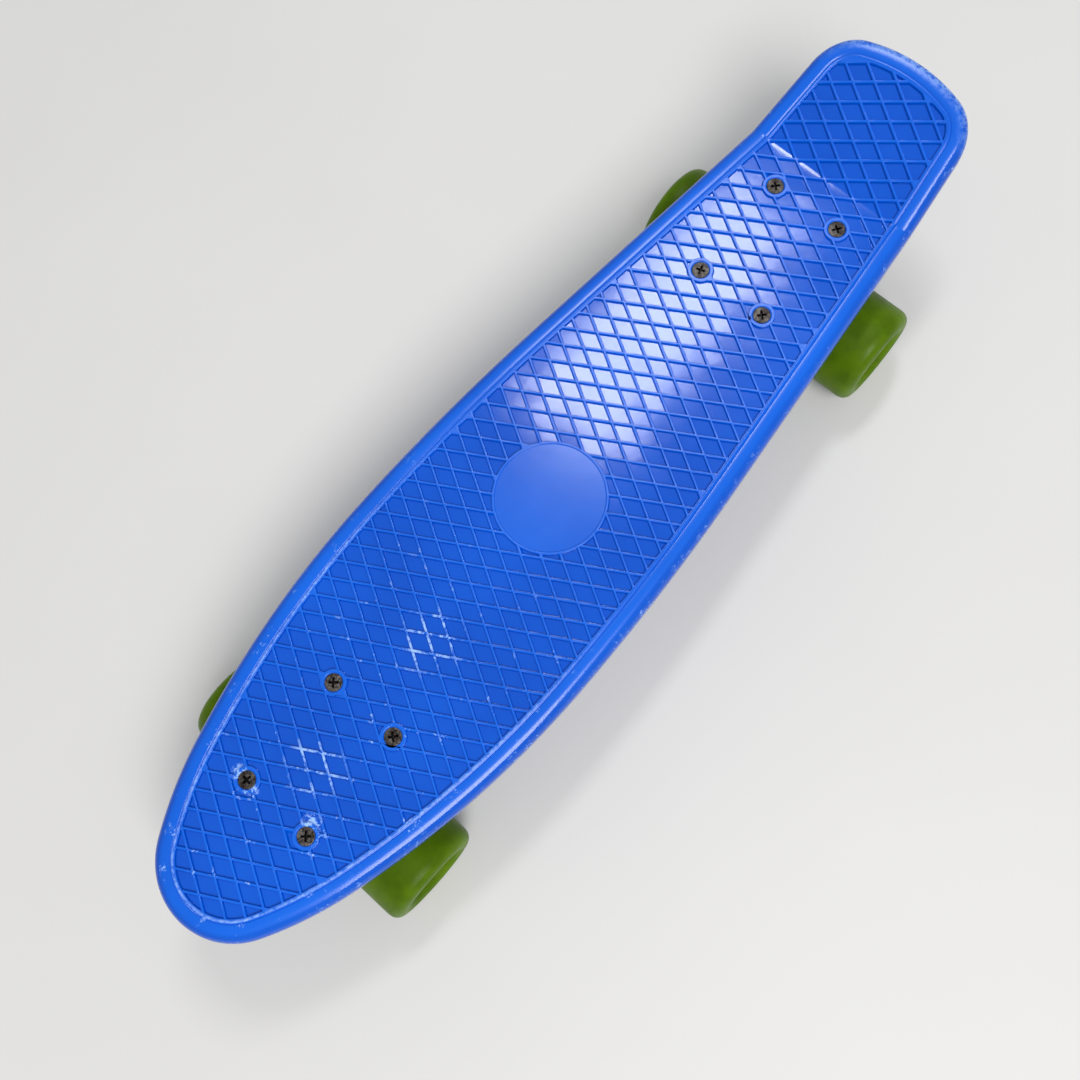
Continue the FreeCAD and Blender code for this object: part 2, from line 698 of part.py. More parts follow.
def make_deck_fasteners(end_name, place):
    """Four countersunk cross-head screws and their nuts."""
    top = "dims.rib_depth"
    bolts = []
    nuts = []
    for along in SIDES:
        for across in SIDES:
            spot = (f"{along} * dims.bolts_long / 2", f"{across} * dims.bolts_wide / 2")
            shank = cylinder("dims.bolt_radius", "dims.bolt_length", f"{top} - dims.bolt_length")
            head = cone("dims.bolt_radius", "dims.bolt_head_radius", "dims.bolt_head_height",
                        f"{top} - dims.bolt_head_height")
            slots = [("dims.cross_slot_long", "dims.cross_slot_wide"), ("dims.cross_slot_wide", "dims.cross_slot_long")]
            cross = [block(a, b, "dims.cross_slot_deep", spot[0], spot[1], f"{top} - dims.cross_slot_deep")
                     for a, b in slots]
            screw = fuse([at_place(shank, spot), at_place(head, spot)])
            bolts.append(cut(screw, *cross))
            low = "-dims.baseplate_thick - dims.deck_nut_height"
            nut = cut(at_place(hexagon("dims.deck_nut_flats", "dims.deck_nut_height", low), spot),
                      at_place(cylinder("dims.bolt_radius", "dims.deck_nut_height", low), spot))
            nuts.append(nut)
    node(group(bolts), "deck_bolts_" + end_name, place)
    node(group(nuts), "deck_nuts_" + end_name, place)


# The axle's line. Heights along z are distances outwards from the middle of the board.

INNER_BEARING = "(dims.beam_half + dims.washer_thick)"
OUTER_BEARING = f"({INNER_BEARING} + dims.bearing_width + dims.bearing_gap)"
STACK_END = f"({OUTER_BEARING} + dims.bearing_width)"


def make_axle(end_name, place):
    here = place * axle_place()
    node(group([cylinder("dims.axle_radius", "2 * dims.axle_half", "-dims.axle_half")]), "axle_" + end_name, here)
    nuts = []
    washers = []
    nut_low = f"{STACK_END} + dims.washer_thick"
    for side in SIDES:
        starts = [f"{INNER_BEARING} - dims.washer_thick", STACK_END]
        rings = [tube("dims.washer_radius", "dims.axle_radius", "dims.washer_thick", start) for start in starts]
        nut = cut(hexagon("dims.axle_nut_flats", "dims.axle_nut_height", nut_low),
                  cylinder("dims.axle_radius", "dims.axle_nut_height", nut_low))
        turn = turned(X_AXIS, 0 if side > 0 else 180)
        washers.append(placed(group(rings), turn))
        nuts.append(placed(group([nut]), turn))
    node(group(nuts), "axle_nuts_" + end_name, here)
    node(group(washers), "speed_washers_" + end_name, here)


def torus_at(radius, height):
    """A ball groove round Z."""
    item = bind(doc.addObject("Part::Torus", "groove"), Radius1="dims.ball_pitch_radius", Radius2=radius)
    item.setExpression("Placement.Base.z", height)
    return item


def ball_at(index, radius, height):
    item = bind(doc.addObject("Part::Sphere", "ball"), Radius=radius)
    angle = f"{index} * 360 / {BALLS}"
    item.setExpression("Placement.Base.x", f"dims.ball_pitch_radius * cos({angle})")
    item.setExpression("Placement.Base.y", f"dims.ball_pitch_radius * sin({angle})")
    item.setExpression("Placement.Base.z", height)
    return item


def radial_pocket(index):
    """A round hole for one ball, drilled outwards from the bearing's middle."""
    hole = bind(doc.addObject("Part::Cylinder", "pocket"), Radius="dims.pocket_radius", Height="dims.bearing_radius")
    hole.Placement = turned(Z_AXIS, index * 360 / BALLS) * turned(Y_AXIS, 90)
    return hole


def make_bearings(name, here):
    outer_rings = []
    inner_rings = []
    balls = []
    cages = []
    shields = []
    for start in (INNER_BEARING, OUTER_BEARING):
        middle = f"({start} + dims.bearing_width / 2)"
        shield_depth = "(dims.shield_inset + dims.shield_thick)"
        mouths = [cylinder("dims.shield_radius", shield_depth, start),
                  cylinder("dims.shield_radius", shield_depth, f"{start} + dims.bearing_width - {shield_depth}")]
        outer = tube("dims.bearing_radius", "dims.outer_ring_bore", "dims.bearing_width", start)
        outer_rings.append(cut(outer, torus_at("dims.groove_radius", middle), *mouths))
        inner = tube("dims.inner_ring_radius", "dims.axle_radius", "dims.bearing_width", start)
        inner_rings.append(cut(inner, torus_at("dims.groove_radius", middle)))
        balls.extend(ball_at(i, "dims.ball_radius", middle) for i in range(BALLS))
        band = tube("dims.ball_pitch_radius + dims.cage_thick / 2", "dims.ball_pitch_radius - dims.cage_thick / 2",
                    "dims.cage_width", f"{middle} - dims.cage_width / 2")
        pockets = group([radial_pocket(i) for i in range(BALLS)])
        pockets.setExpression("Placement.Base.z", middle)
        cages.append(cut(band, pockets))
        for face in (f"{start} + dims.shield_inset",
                     f"{start} + dims.bearing_width - dims.shield_inset - dims.shield_thick"):
            shields.append(tube("dims.shield_radius", "dims.shield_bore", "dims.shield_thick", face))
    node(group(outer_rings), "bearing_outer_rings_" + name, here)
    node(group(inner_rings), "bearing_inner_rings_" + name, here)
    node(group(balls), "bearing_balls_" + name, here)
    node(group(cages), "bearing_cages_" + name, here)
    node(group(shields), "bearing_shields_" + name, here)
    spacer = tube("dims.spacer_radius", "dims.axle_radius", "dims.bearing_gap",
                  f"{INNER_BEARING} + dims.bearing_width")
    node(spacer, "bearing_spacer_" + name, here)


def make_wheel(name, here):
    inner_seat_end = f"{INNER_BEARING} + dims.bearing_width"
    body, turn = revolved("wheel_" + name, [
        ("dims.wheel_throat_radius", INNER_BEARING),
        ("dims.wheel_face_radius", "dims.wheel_inner"),
        ("dims.wheel_radius", "dims.wheel_inner"),
        ("dims.wheel_radius", "dims.wheel_outer"),
        ("dims.wheel_face_radius", "dims.wheel_outer"),
        ("dims.wheel_throat_radius", STACK_END),
        ("dims.bearing_radius", STACK_END),
        ("dims.bearing_radius", OUTER_BEARING),
        ("dims.wheel_web_bore", OUTER_BEARING),
        ("dims.wheel_web_bore", inner_seat_end),
        ("dims.bearing_radius", inner_seat_end),
        ("dims.bearing_radius", INNER_BEARING),
    ])
    doc.recompute()
    rim_edges = []
    for index, edge in enumerate(turn.Shape.Edges, start=1):
        curve = edge.Curve
        if isinstance(curve, Part.Circle) and abs(curve.Radius - size("wheel_radius")) < 0.01:
            rim_edges.append(f"Edge{index}")
    lips = body.newObject("PartDesign::Fillet", "lips")
    lips.Base = (turn, rim_edges)
    lips.setExpression("Radius", "dims.wheel_lip")
    body.Tip = lips
    node(body, "wheel_" + name, here)


make_deck()
for end_name, end in (("front", 1), ("rear", -1)):
    place = truck_place(end)
    make_baseplate(end_name, place)
    make_kingpin_stack(end_name, place)
    make_hanger(end_name, place)
    make_deck_fasteners(end_name, place)
    make_axle(end_name, place)
    for side_name, side in (("left", 1), ("right", -1)):
        # a right wheel on the turned rear truck lies on the side where a left one is drawn
        facing = turned(X_AXIS, 0 if side == end else 180)
        here = place * axle_place() * facing
        make_wheel(f"{end_name}_{side_name}", here)
        make_bearings(f"{end_name}_{side_name}", here)
doc.recompute()

for item in doc.Objects:
    if "Invalid" in item.State or "Error" in item.State:
        raise RuntimeError(f"{item.Label} failed: {item.State}")
for item in NODES:
    if item.Shape.isNull() or not item.Shape.isValid():
        raise RuntimeError(f"{item.Label} has no valid shape")
for item in NODES:
    box = item.Shape.BoundBox
    print(f"{item.Label:34s} {len(item.Shape.Solids):3d} solids {item.Shape.Volume:10.0f} mm3"
          f"  x {box.XMin:.1f}..{box.XMax:.1f}  y {box.YMin:.1f}..{box.YMax:.1f}  z {box.ZMin:.1f}..{box.ZMax:.1f}")
    item.Shape.exportStep(os.path.join("parts", item.Label + ".step"))
print(len(NODES), "nodes written")
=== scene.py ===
# %% [markdown]
# # A small plastic cruiser skateboard
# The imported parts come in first. They fix every place and size: the board lies along X with its nose
# at +X, Z is up and the ground is at zero. The deck, wheels, castings, bushings, screws and nuts are
# modelled again here in fine detail, each one inside the space of the plain part it stands for. The
# bearings, their spacers and the pivot cups keep their plain shapes and get a finish.

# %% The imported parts
import json
import math
import random

import bmesh
import bpy
from mathutils import Matrix, Vector
from mathutils.geometry import delaunay_2d_cdt, intersect_line_line_2d
from mathutils.kdtree import KDTree


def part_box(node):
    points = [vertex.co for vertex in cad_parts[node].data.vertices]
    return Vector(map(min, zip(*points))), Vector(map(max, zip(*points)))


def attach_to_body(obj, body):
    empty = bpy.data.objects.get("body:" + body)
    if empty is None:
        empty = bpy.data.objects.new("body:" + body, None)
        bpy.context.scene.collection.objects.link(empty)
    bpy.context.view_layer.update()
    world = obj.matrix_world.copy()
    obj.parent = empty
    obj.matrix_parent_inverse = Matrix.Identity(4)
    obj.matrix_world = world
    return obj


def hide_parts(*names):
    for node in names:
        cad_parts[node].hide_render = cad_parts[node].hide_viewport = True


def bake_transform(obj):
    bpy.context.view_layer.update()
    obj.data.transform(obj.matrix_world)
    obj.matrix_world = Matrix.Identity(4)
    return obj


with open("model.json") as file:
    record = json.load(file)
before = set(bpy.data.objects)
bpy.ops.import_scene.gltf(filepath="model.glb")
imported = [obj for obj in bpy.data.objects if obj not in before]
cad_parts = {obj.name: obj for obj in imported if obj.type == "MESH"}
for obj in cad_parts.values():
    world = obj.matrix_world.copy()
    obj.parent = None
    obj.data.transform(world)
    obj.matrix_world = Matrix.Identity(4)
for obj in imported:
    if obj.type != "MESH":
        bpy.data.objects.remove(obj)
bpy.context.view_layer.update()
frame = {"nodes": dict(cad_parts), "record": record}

MM = 0.001

# %% [markdown]
# ## Small helpers
# A bmesh holds a shape while it is being worked on. These helpers turn it into an object, make it move
# with one of the board's bodies and hide the plain part that it stands for.

# %% From a bmesh to a piece of the board
def finish_mesh(bm, name, material):
    bmesh.ops.remove_doubles(bm, verts=bm.verts, dist=1e-6)
    bmesh.ops.recalc_face_normals(bm, faces=bm.faces)
    mesh = bpy.data.meshes.new(name)
    bm.to_mesh(mesh)
    bm.free()
    mesh.shade_smooth()
    mesh.set_sharp_from_angle(angle=math.radians(38))
    mesh.materials.append(material)
    piece = bpy.data.objects.new(name, mesh)
    bpy.context.collection.objects.link(piece)
    print(name, len(mesh.polygons), "faces")
    return piece


def even_shading(piece):
    """Flat faces stay flat in the light beside their small rounded edges."""
    weighted = piece.modifiers.new("even_shading", "WEIGHTED_NORMAL")
    weighted.keep_sharp = True
    return piece


def attach(piece, body, slot, *nodes):
    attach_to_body(piece, body)
    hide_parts(*nodes)
    return piece


# %% [markdown]
# ## Materials
# Every finish is made of nodes that read the object's own coordinates, so nothing slides when the view
# changes. A small helper adds a node and fills or links its inputs, which keeps each recipe short.

# %% A helper for shader nodes
def add(tree, kind, inputs=None, **settings):
    node = tree.nodes.new("ShaderNode" + kind)
    for name, value in settings.items():
        setattr(node, name, value)
    for name, value in (inputs or {}).items():
        if isinstance(value, bpy.types.NodeSocket):
            tree.links.new(value, node.inputs[name])
        else:
            node.inputs[name].default_value = value
    return node


def new_material(name, roughness=0.5, metallic=0.0, **constants):
    material = bpy.data.materials.new(name)
    material.use_nodes = True
    tree = material.node_tree
    shader = tree.nodes["Principled BSDF"]
    shader.inputs["Roughness"].default_value = roughness
    shader.inputs["Metallic"].default_value = metallic
    for socket, value in constants.items():
        shader.inputs[socket.replace("_", " ")].default_value = value
    return material, tree, shader


def place(tree):
    return add(tree, "TexCoord").outputs["Object"]


def noise(tree, where, scale, detail=4.0, roughness=0.55):
    node = add(tree, "TexNoise", {"Vector": where, "Scale": scale, "Detail": detail, "Roughness": roughness})
    return node.outputs["Fac"]


def ramp(tree, value, low, high, to_low=0.0, to_high=1.0):
    """Maps low..high to to_low..to_high and holds the ends."""
    node = add(tree, "MapRange", {"Value": value, "From Min": low, "From Max": high,
                                  "To Min": to_low, "To Max": to_high})
    return node.outputs["Result"]


def maths(tree, operation, first, second):
    return add(tree, "Math", {0: first, 1: second}, operation=operation).outputs["Value"]


def blend_colour(tree, amount, first, second):
    node = add(tree, "Mix", data_type="RGBA")
    for index, value in ((0, amount), (6, first), (7, second)):
        if isinstance(value, bpy.types.NodeSocket):
            tree.links.new(value, node.inputs[index])
        else:
            node.inputs[index].default_value = value
    return node.outputs[2]


def give(tree, shader, colour=None, roughness=None, height=None, strength=0.2, distance=0.0002):
    if colour is not None:
        tree.links.new(colour, shader.inputs["Base Color"])
    if roughness is not None:
        tree.links.new(roughness, shader.inputs["Roughness"])
    if height is not None:
        bump = add(tree, "Bump", {"Height": height, "Strength": strength, "Distance": distance})
        tree.links.new(bump.outputs["Normal"], shader.inputs["Normal"])


# %% [markdown]
# ## The deck's plastic
# The deck is injection-moulded in one saturated blue. The cell floors copy a polished mould and shine;
# rib tops, pad and rim are rubbed by shoes. Rough ground nibbles the outer edge, most of all round the
# tail, which leaves pale specks. The colour also carries painted shade: the deeper a point lies below the
# rim, the darker its blue, so the cell floors, the pad, the deck's sides and underside are painted darker
# than the rib tops and rim. Two attributes made with the mesh steer this: `sunk` is how far a point lies
# below the rim, and `inland` is how far it lies from the outline, both in millimetres.

# %% Scuffed blue plastic
BLUE = (0.0, 0.118, 0.68, 1.0)
# the darker blue of the painted shade in the cell floors, pad, sides and underside, also the dark end of the
# random drift
POCKET_SHADE_BLUE = (0.0, 0.074, 0.50, 1.0)
FLOOR_GLOSS = 0.09
SCUFF_BLUE = (0.30, 0.50, 0.92, 1.0)
# rubbed spots of ribs on the front half, and chips beside the two foremost screws
RUBBED = [(0.106, 0.003, 0.020), (0.191, 0.001, 0.018)]
CHIPPED = [(0.2107, 0.0186, 0.0062), (0.2171, -0.0264, 0.0050), (0.2200, -0.0150, 0.0045)]


def near(tree, where, x, y, reach):
    """1 at a spot of the deck's top and 0 from reach outwards."""
    spot = (x, y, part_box("deck_bolts_front")[1].z)
    node = add(tree, "VectorMath", {0: where, 1: spot}, operation="DISTANCE")
    return ramp(tree, node.outputs["Value"], 0.55 * reach, reach, 1.0, 0.0)


def product(tree, *values):
    total = values[0]
    for value in values[1:]:
        total = maths(tree, "MULTIPLY", total, value)
    return total


def most(tree, *values):
    total = values[0]
    for value in values[1:]:
        total = maths(tree, "MAXIMUM", total, value)
    return total


def deck_wear(tree, where, sunk, inland, along):
    """How pale each point is worn, from 0 to 1."""
    raised = ramp(tree, sunk, 0.8, 0.3)
    nibble = noise(tree, where, 330.0, 6.0, 0.75)
    streak = noise(tree, where, 85.0, 8.0, 0.8)
    broad = noise(tree, where, 30.0, 3.0)
    front = ramp(tree, along, 0.03, 0.13)

    edge = product(tree, ramp(tree, inland, 3.4, 0.3), ramp(tree, nibble, 0.575, 0.63),
                   ramp(tree, broad, 0.44, 0.62))
    tail_band = maths(tree, "MULTIPLY", ramp(tree, inland, 7.5, 0.5), ramp(tree, along, -0.262, -0.286))
    tail = product(tree, tail_band, ramp(tree, nibble, 0.40, 0.58))
    bead_band = maths(tree, "MULTIPLY", ramp(tree, inland, 9.9, 10.3), ramp(tree, inland, 11.7, 11.1))
    bead = product(tree, bead_band, front, ramp(tree, nibble, 0.42, 0.60, 0.08, 0.8),
                   ramp(tree, broad, 0.3, 0.6, 0.5, 1.0))
    worn = most(tree, edge, tail, bead)
    for x, y, reach in RUBBED:
        rubbed = product(tree, near(tree, where, x, y, reach), raised, ramp(tree, streak, 0.47, 0.53),
                         ramp(tree, nibble, 0.38, 0.5))
        worn = most(tree, worn, rubbed)
    for x, y, reach in CHIPPED:
        chipped = product(tree, near(tree, where, x, y, reach), ramp(tree, nibble, 0.50, 0.53))
        worn = most(tree, worn, chipped)
    nicks = product(tree, ramp(tree, streak, 0.585, 0.62), raised, front, ramp(tree, nibble, 0.45, 0.55))
    return most(tree, worn, nicks)


def deck_plastic():
    material, tree, shader = new_material("deck_plastic", Specular_IOR_Level=0.42)
    where = place(tree)
    sunk = add(tree, "Attribute", attribute_name="sunk").outputs["Fac"]
    inland = add(tree, "Attribute", attribute_name="inland").outputs["Fac"]
    along = add(tree, "SeparateXYZ", {"Vector": where}).outputs["X"]
    raised = ramp(tree, sunk, 0.9, 0.2)
    drift = noise(tree, where, 14.0, 3.0)
    grain = noise(tree, where, 900.0, 5.0, 0.7)
    worn = deck_wear(tree, where, sunk, inland, along)

    # painted shade: sunk points are mixed towards the darker blue and raised ones stay lighter; the drift
    # adds random tone on top
    pocket_shade_and_drift = maths(tree, "ADD", ramp(tree, raised, 0.0, 1.0, 0.0, 0.6),
                 ramp(tree, drift, 0.35, 0.65, 0.0, 0.4))
    colour = blend_colour(tree, pocket_shade_and_drift, POCKET_SHADE_BLUE, BLUE)
    colour = blend_colour(tree, worn, colour, SCUFF_BLUE)
    satin = ramp(tree, inland, 8.8, 9.6, 0.20, 0.24)
    satin = maths(tree, "MULTIPLY", raised, maths(tree, "SUBTRACT", satin, FLOOR_GLOSS))
    roughness = maths(tree, "ADD", maths(tree, "ADD", satin, FLOOR_GLOSS),
                      ramp(tree, drift, 0.3, 0.7, 0.0, 0.05))
    roughness = maths(tree, "ADD", roughness, ramp(tree, worn, 0.0, 1.0, 0.0, 0.3))
    wave = maths(tree, "MULTIPLY", noise(tree, where, 60.0, 2.0), 1.6)
    height = maths(tree, "ADD", maths(tree, "MULTIPLY", grain, 0.2), ramp(tree, worn, 0.0, 1.0, 0.0, 0.8))
    give(tree, shader, colour, roughness, maths(tree, "ADD", height, wave), 0.14)
    return material


DECK_PLASTIC = deck_plastic()


# %% [markdown]
# ## Urethane and metals
# Wheel urethane is cast and a little see-through, so light scatters inside it; Subsurface does that.
# The trucks are tumbled castings with a fine grain, the fasteners are zinc plated, and the deck screws
# are black oxide that shoes have rubbed down to brown and bare steel.

# %% Wheels and bushings
DEEP_LIME = (0.055, 0.112, 0.0001, 1)
LIME = (0.104, 0.196, 0.0001, 1)
LIME_GRIME = (0.028, 0.055, 0.001, 1)
BLACK_RUBBER = (0.012, 0.012, 0.014, 1)
GREY_RUBBER = (0.035, 0.035, 0.038, 1)


def wheel_urethane():
    material, tree, shader = new_material(
        "wheel_urethane", Subsurface_Weight=0.45, Subsurface_Scale=0.008, Specular_IOR_Level=0.12)
    shader.inputs["Subsurface Radius"].default_value = (0.6, 1.0, 0.15)
    where = place(tree)
    cloud = noise(tree, where, 45.0, 4.0)
    grime = noise(tree, where, 260.0, 6.0, 0.7)
    colour = blend_colour(tree, ramp(tree, cloud, 0.3, 0.7), DEEP_LIME, LIME)
    colour = blend_colour(tree, ramp(tree, grime, 0.60, 0.75, 0.0, 0.5), colour, LIME_GRIME)
    give(tree, shader, colour, ramp(tree, grime, 0.3, 0.7, 0.28, 0.5), grime, 0.1)
    return material


def bushing_urethane():
    material, tree, shader = new_material("bushing_urethane", Specular_IOR_Level=0.4)
    where = place(tree)
    cloud = noise(tree, where, 120.0)
    colour = blend_colour(tree, ramp(tree, cloud, 0.35, 0.7), BLACK_RUBBER, GREY_RUBBER)
    give(tree, shader, colour, ramp(tree, cloud, 0.3, 0.7, 0.42, 0.6), noise(tree, where, 700.0), 0.15)
    return material


# %% Cast, plated and ground metal
def metal(name, dark, bright, smooth, rough, grain, spot=None, strength=0.15):
    """A metal whose colour drifts between dark and bright, with an optional spot colour of stains."""
    material, tree, shader = new_material(name, metallic=1.0)
    where = place(tree)
    drift = noise(tree, where, grain * 0.15, 4.0)
    fine = noise(tree, where, grain, 6.0, 0.7)
    colour = blend_colour(tree, ramp(tree, drift, 0.3, 0.7), dark, bright)
    if spot is not None:
        colour = blend_colour(tree, ramp(tree, fine, 0.54, 0.64), colour, spot)
    give(tree, shader, colour, ramp(tree, fine, 0.3, 0.7, smooth, rough), fine, strength)
    return material


# %% Blackened screws and nylon
BLACK_OXIDE = (0.018, 0.017, 0.017, 1)
BROWN_STEEL = (0.075, 0.058, 0.050, 1)
BARE_STEEL = (0.19, 0.168, 0.150, 1)


def black_steel():
    """Black oxide that shoes have rubbed off the top of the heads, down to brownish steel."""
    material, tree, shader = new_material("black_bolt_steel", metallic=1.0)
    where = place(tree)
    height = add(tree, "SeparateXYZ", {"Vector": where}).outputs["Z"]
    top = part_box("deck_bolts_front")[1].z
    face = ramp(tree, height, top - 0.0007, top - 0.0004)
    fine = noise(tree, where, 800.0, 6.0, 0.7)
    patch = noise(tree, where, 260.0, 4.0)
    bare = blend_colour(tree, ramp(tree, patch, 0.4, 0.6), BROWN_STEEL, BARE_STEEL)
    rubbed = product(tree, face, ramp(tree, fine, 0.38, 0.58))
    colour = blend_colour(tree, rubbed, BLACK_OXIDE, bare)
    give(tree, shader, colour, ramp(tree, fine, 0.3, 0.7, 0.35, 0.6), fine, 0.3)
    return material


def nylon():
    material, tree, shader = new_material("nylon_cup", Specular_IOR_Level=0.4)
    where = place(tree)
    cloud = noise(tree, where, 300.0)
    colour = blend_colour(tree, cloud, (0.02, 0.02, 0.022, 1), (0.05, 0.05, 0.052, 1))
    give(tree, shader, colour, ramp(tree, cloud, 0.3, 0.7, 0.45, 0.6), cloud, 0.1)
    return material


# %% Every plain part gets the finish of its slot
FINISH = {
    "wheel_urethane": wheel_urethane(),
    "bushing_urethane": bushing_urethane(),
    "nylon_cup": nylon(),
    "truck_casting": metal("truck_casting", (0.40, 0.41, 0.42, 1), (0.56, 0.57, 0.58, 1), 0.36, 0.55, 900.0),
    "zinc_steel": metal("zinc_steel", (0.46, 0.47, 0.49, 1), (0.62, 0.62, 0.60, 1), 0.20, 0.36, 600.0),
    "black_bolt_steel": black_steel(),
    "bearing_steel": metal("bearing_steel", (0.55, 0.56, 0.58, 1), (0.68, 0.68, 0.69, 1), 0.10, 0.22, 500.0),
    "bearing_shield": metal("bearing_shield", (0.42, 0.43, 0.45, 1), (0.55, 0.56, 0.57, 1), 0.24, 0.4, 700.0),
}
for entry in frame["record"]["subparts"]:
    node = frame["nodes"][entry["node"]]
    finish = FINISH.get(entry["material_slot"])
    if finish is not None:
        node.data.materials.clear()
        node.data.materials.append(finish)
print("finishes", sorted(FINISH))

# %% [markdown]
# ## The deck's outline
# Seen from above the outline is a chain of arcs that meet tangent to tangent: the nose's tip, the
# shoulder, the long side, the tail's side, a straight taper, a corner and the slightly bowed end.
# Moving every arc's radius by the same amount gives a parallel outline, which is how the rim, the bead
# and the sunk field follow the edge.

# %% Arcs of the outline, in millimetres
_, deck_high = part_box("deck")
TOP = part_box("deck_bolts_front")[1].z / MM
TIP = deck_high.x / MM
HALF_WIDTH = deck_high.y / MM
WIDEST_X = 74.5
SIDE_ARC = 539.0
SIDE_LEAN = math.radians(15.9)
SHOULDER_ARC = 208.0
TAIL_ARC = 1265.0
TAPER = math.radians(5.8)
CORNER = 26.0
END_ARC = 110.0

side_centre = Vector((WIDEST_X, HALF_WIDTH - SIDE_ARC))
shoulder_way = Vector((math.sin(SIDE_LEAN), math.cos(SIDE_LEAN)))
shoulder_centre = side_centre + (SIDE_ARC - SHOULDER_ARC) * shoulder_way
back = shoulder_centre.x - TIP
nose_radius = (SHOULDER_ARC**2 - back**2 - shoulder_centre.y**2) / (2 * (back + SHOULDER_ARC))
nose_centre = Vector((TIP - nose_radius, 0))
nose_end = math.atan2(-shoulder_centre.y, nose_centre.x - shoulder_centre.x)
tail_centre = Vector((WIDEST_X, HALF_WIDTH - TAIL_ARC))
outward = Vector((-math.sin(TAPER), math.cos(TAPER)))
along_taper = Vector((-math.cos(TAPER), -math.sin(TAPER)))
end_centre = Vector((END_ARC - TIP, 0))
gap = tail_centre + outward * (TAIL_ARC - CORNER) - end_centre
along_gap = gap.dot(along_taper)
reach = math.sqrt(along_gap**2 - gap.dot(gap) + (END_ARC - CORNER) ** 2) - along_gap
corner_centre = end_centre + gap + along_taper * reach
corner_turn = math.atan2(corner_centre.y, (corner_centre - end_centre).x)
ARCS = [
    (nose_centre, nose_radius, 0.0, nose_end, 26),
    (shoulder_centre, SHOULDER_ARC, nose_end, math.pi / 2 - SIDE_LEAN, 22),
    (side_centre, SIDE_ARC, math.pi / 2 - SIDE_LEAN, math.pi / 2, 22),
    (tail_centre, TAIL_ARC, math.pi / 2, math.pi / 2 + TAPER, 16),
    (corner_centre, CORNER, math.pi / 2 + TAPER, corner_turn, 18),
    (end_centre, END_ARC, corner_turn, math.pi, 10),
]
TAPER_STEPS = 20


def outline(inset):
    """Points once round the deck, moved inwards by inset millimetres."""
    half = []
    for centre, radius, start, end, steps in ARCS:
        turns = [start + (end - start) * i / steps for i in range(steps + 1)]
        points = [centre + (radius - inset) * Vector((math.cos(a), math.sin(a))) for a in turns]
        if centre is corner_centre:
            half += [half[-1].lerp(points[0], i / TAPER_STEPS) for i in range(1, TAPER_STEPS)]
        half += points[1:] if half and centre is not corner_centre else points
    return half + [Vector((p.x, -p.y)) for p in reversed(half[1:-1])]


print("outline points", len(outline(0)), "nose radius", round(nose_radius, 1))


# %% [markdown]
# ## The moulded top and underside
# The grip pattern is two families of thin ribs. A flat sheet is cut along both edges of every rib, by
# Blender's constrained Delaunay routine, which also cuts round the bolt bosses and the centre pad. Each
# diamond between the ribs is then pushed down into a pocket, and what stays at the top is the lattice.
# The underside is made the same way, with a few wide stiffening ribs.

# %% Rib lines
RIB_HALF = 0.54
# side of the family, place of one rib on the middle line, pitch along the board
LATTICE = [(1, 16.4, 11.12), (-1, 14.6, 11.18)]
RIB_SLOPE = 0.580
UNDER_RIB_HALF = 2.0
UNDER_RIBS_Y = (-28.0, 0.0, 28.0)
TRUCK_MID = 9.0
TRUCK_HALF_SPACING = 176.5
LINE_REACH = HALF_WIDTH + 4


def rib_phase(x, y, family):
    """How far a point is from the nearest rib's middle line, along the board."""
    side, start, pitch = family
    away = (x - start - side * RIB_SLOPE * y) % pitch
    return min(away, pitch - away)


def lattice_lines():
    lines = []
    edge = RIB_HALF * math.sqrt(1 + RIB_SLOPE**2)
    for side, start, pitch in LATTICE:
        lean = side * RIB_SLOPE * LINE_REACH
        count = int((TIP + LINE_REACH) / pitch) + 2
        for k in range(-count, count + 1):
            for x in (start + k * pitch - edge, start + k * pitch + edge):
                lines.append((Vector((x - lean, -LINE_REACH)), Vector((x + lean, LINE_REACH))))
    return lines


def under_lines():
    lines = []
    for edge in (-UNDER_RIB_HALF, UNDER_RIB_HALF):
        for y in UNDER_RIBS_Y:
            lines.append((Vector((-LINE_REACH - TIP, y + edge)), Vector((LINE_REACH + TIP, y + edge))))
        for k in range(-4, 5):
            x = TRUCK_MID + k * TRUCK_HALF_SPACING / 3 + edge
            lines.append((Vector((x, -LINE_REACH)), Vector((x, LINE_REACH))))
    return lines


# %% Points of the outline shared by the top, the rim and the underside
FIELD_INSET = 11.4
UNDER_INSET = 9.5
CLOSE = 0.2


def crossings(inset, lines):
    """Where the lines cross the outline: a point number with a fraction."""
    ring = outline(inset)
    found = []
    for i, a in enumerate(ring):
        b = ring[(i + 1) % len(ring)]
        for start, end in lines:
            hit = intersect_line_line_2d(a, b, start, end)
            if hit is not None:
                found.append(i + (hit - a).length / (b - a).length)
    return found


def shared_places():
    steps = len(outline(0))
    kept = list(range(steps))
    border = outline(FIELD_INSET)
    lengths = [(border[(i + 1) % steps] - border[i]).length for i in range(steps)]
    hits = crossings(FIELD_INSET, lattice_lines()) + crossings(UNDER_INSET, under_lines())
    for place_on_ring in sorted(hits):
        segment = int(place_on_ring) % steps
        nearby = [p for p in kept if abs(p - place_on_ring) * lengths[segment] < CLOSE]
        if not nearby and place_on_ring < steps:
            kept.append(place_on_ring)
    return sorted(kept)


PLACES = shared_places()


def ring_at(inset):
    ring = outline(inset)
    return [ring[int(p)].lerp(ring[(int(p) + 1) % len(ring)], p - int(p)) for p in PLACES]


print("points round the deck", len(PLACES))


# %% Cutting a sheet
def circle(x, y, radius, steps):
    turns = [2 * math.pi * i / steps for i in range(steps)]
    return [Vector((x + radius * math.cos(a), y + radius * math.sin(a))) for a in turns]


def in_order(elements, chosen):
    """The chosen ones in the mesh's own order, since a set's order changes from run to run."""
    return [element for element in elements if element in chosen]


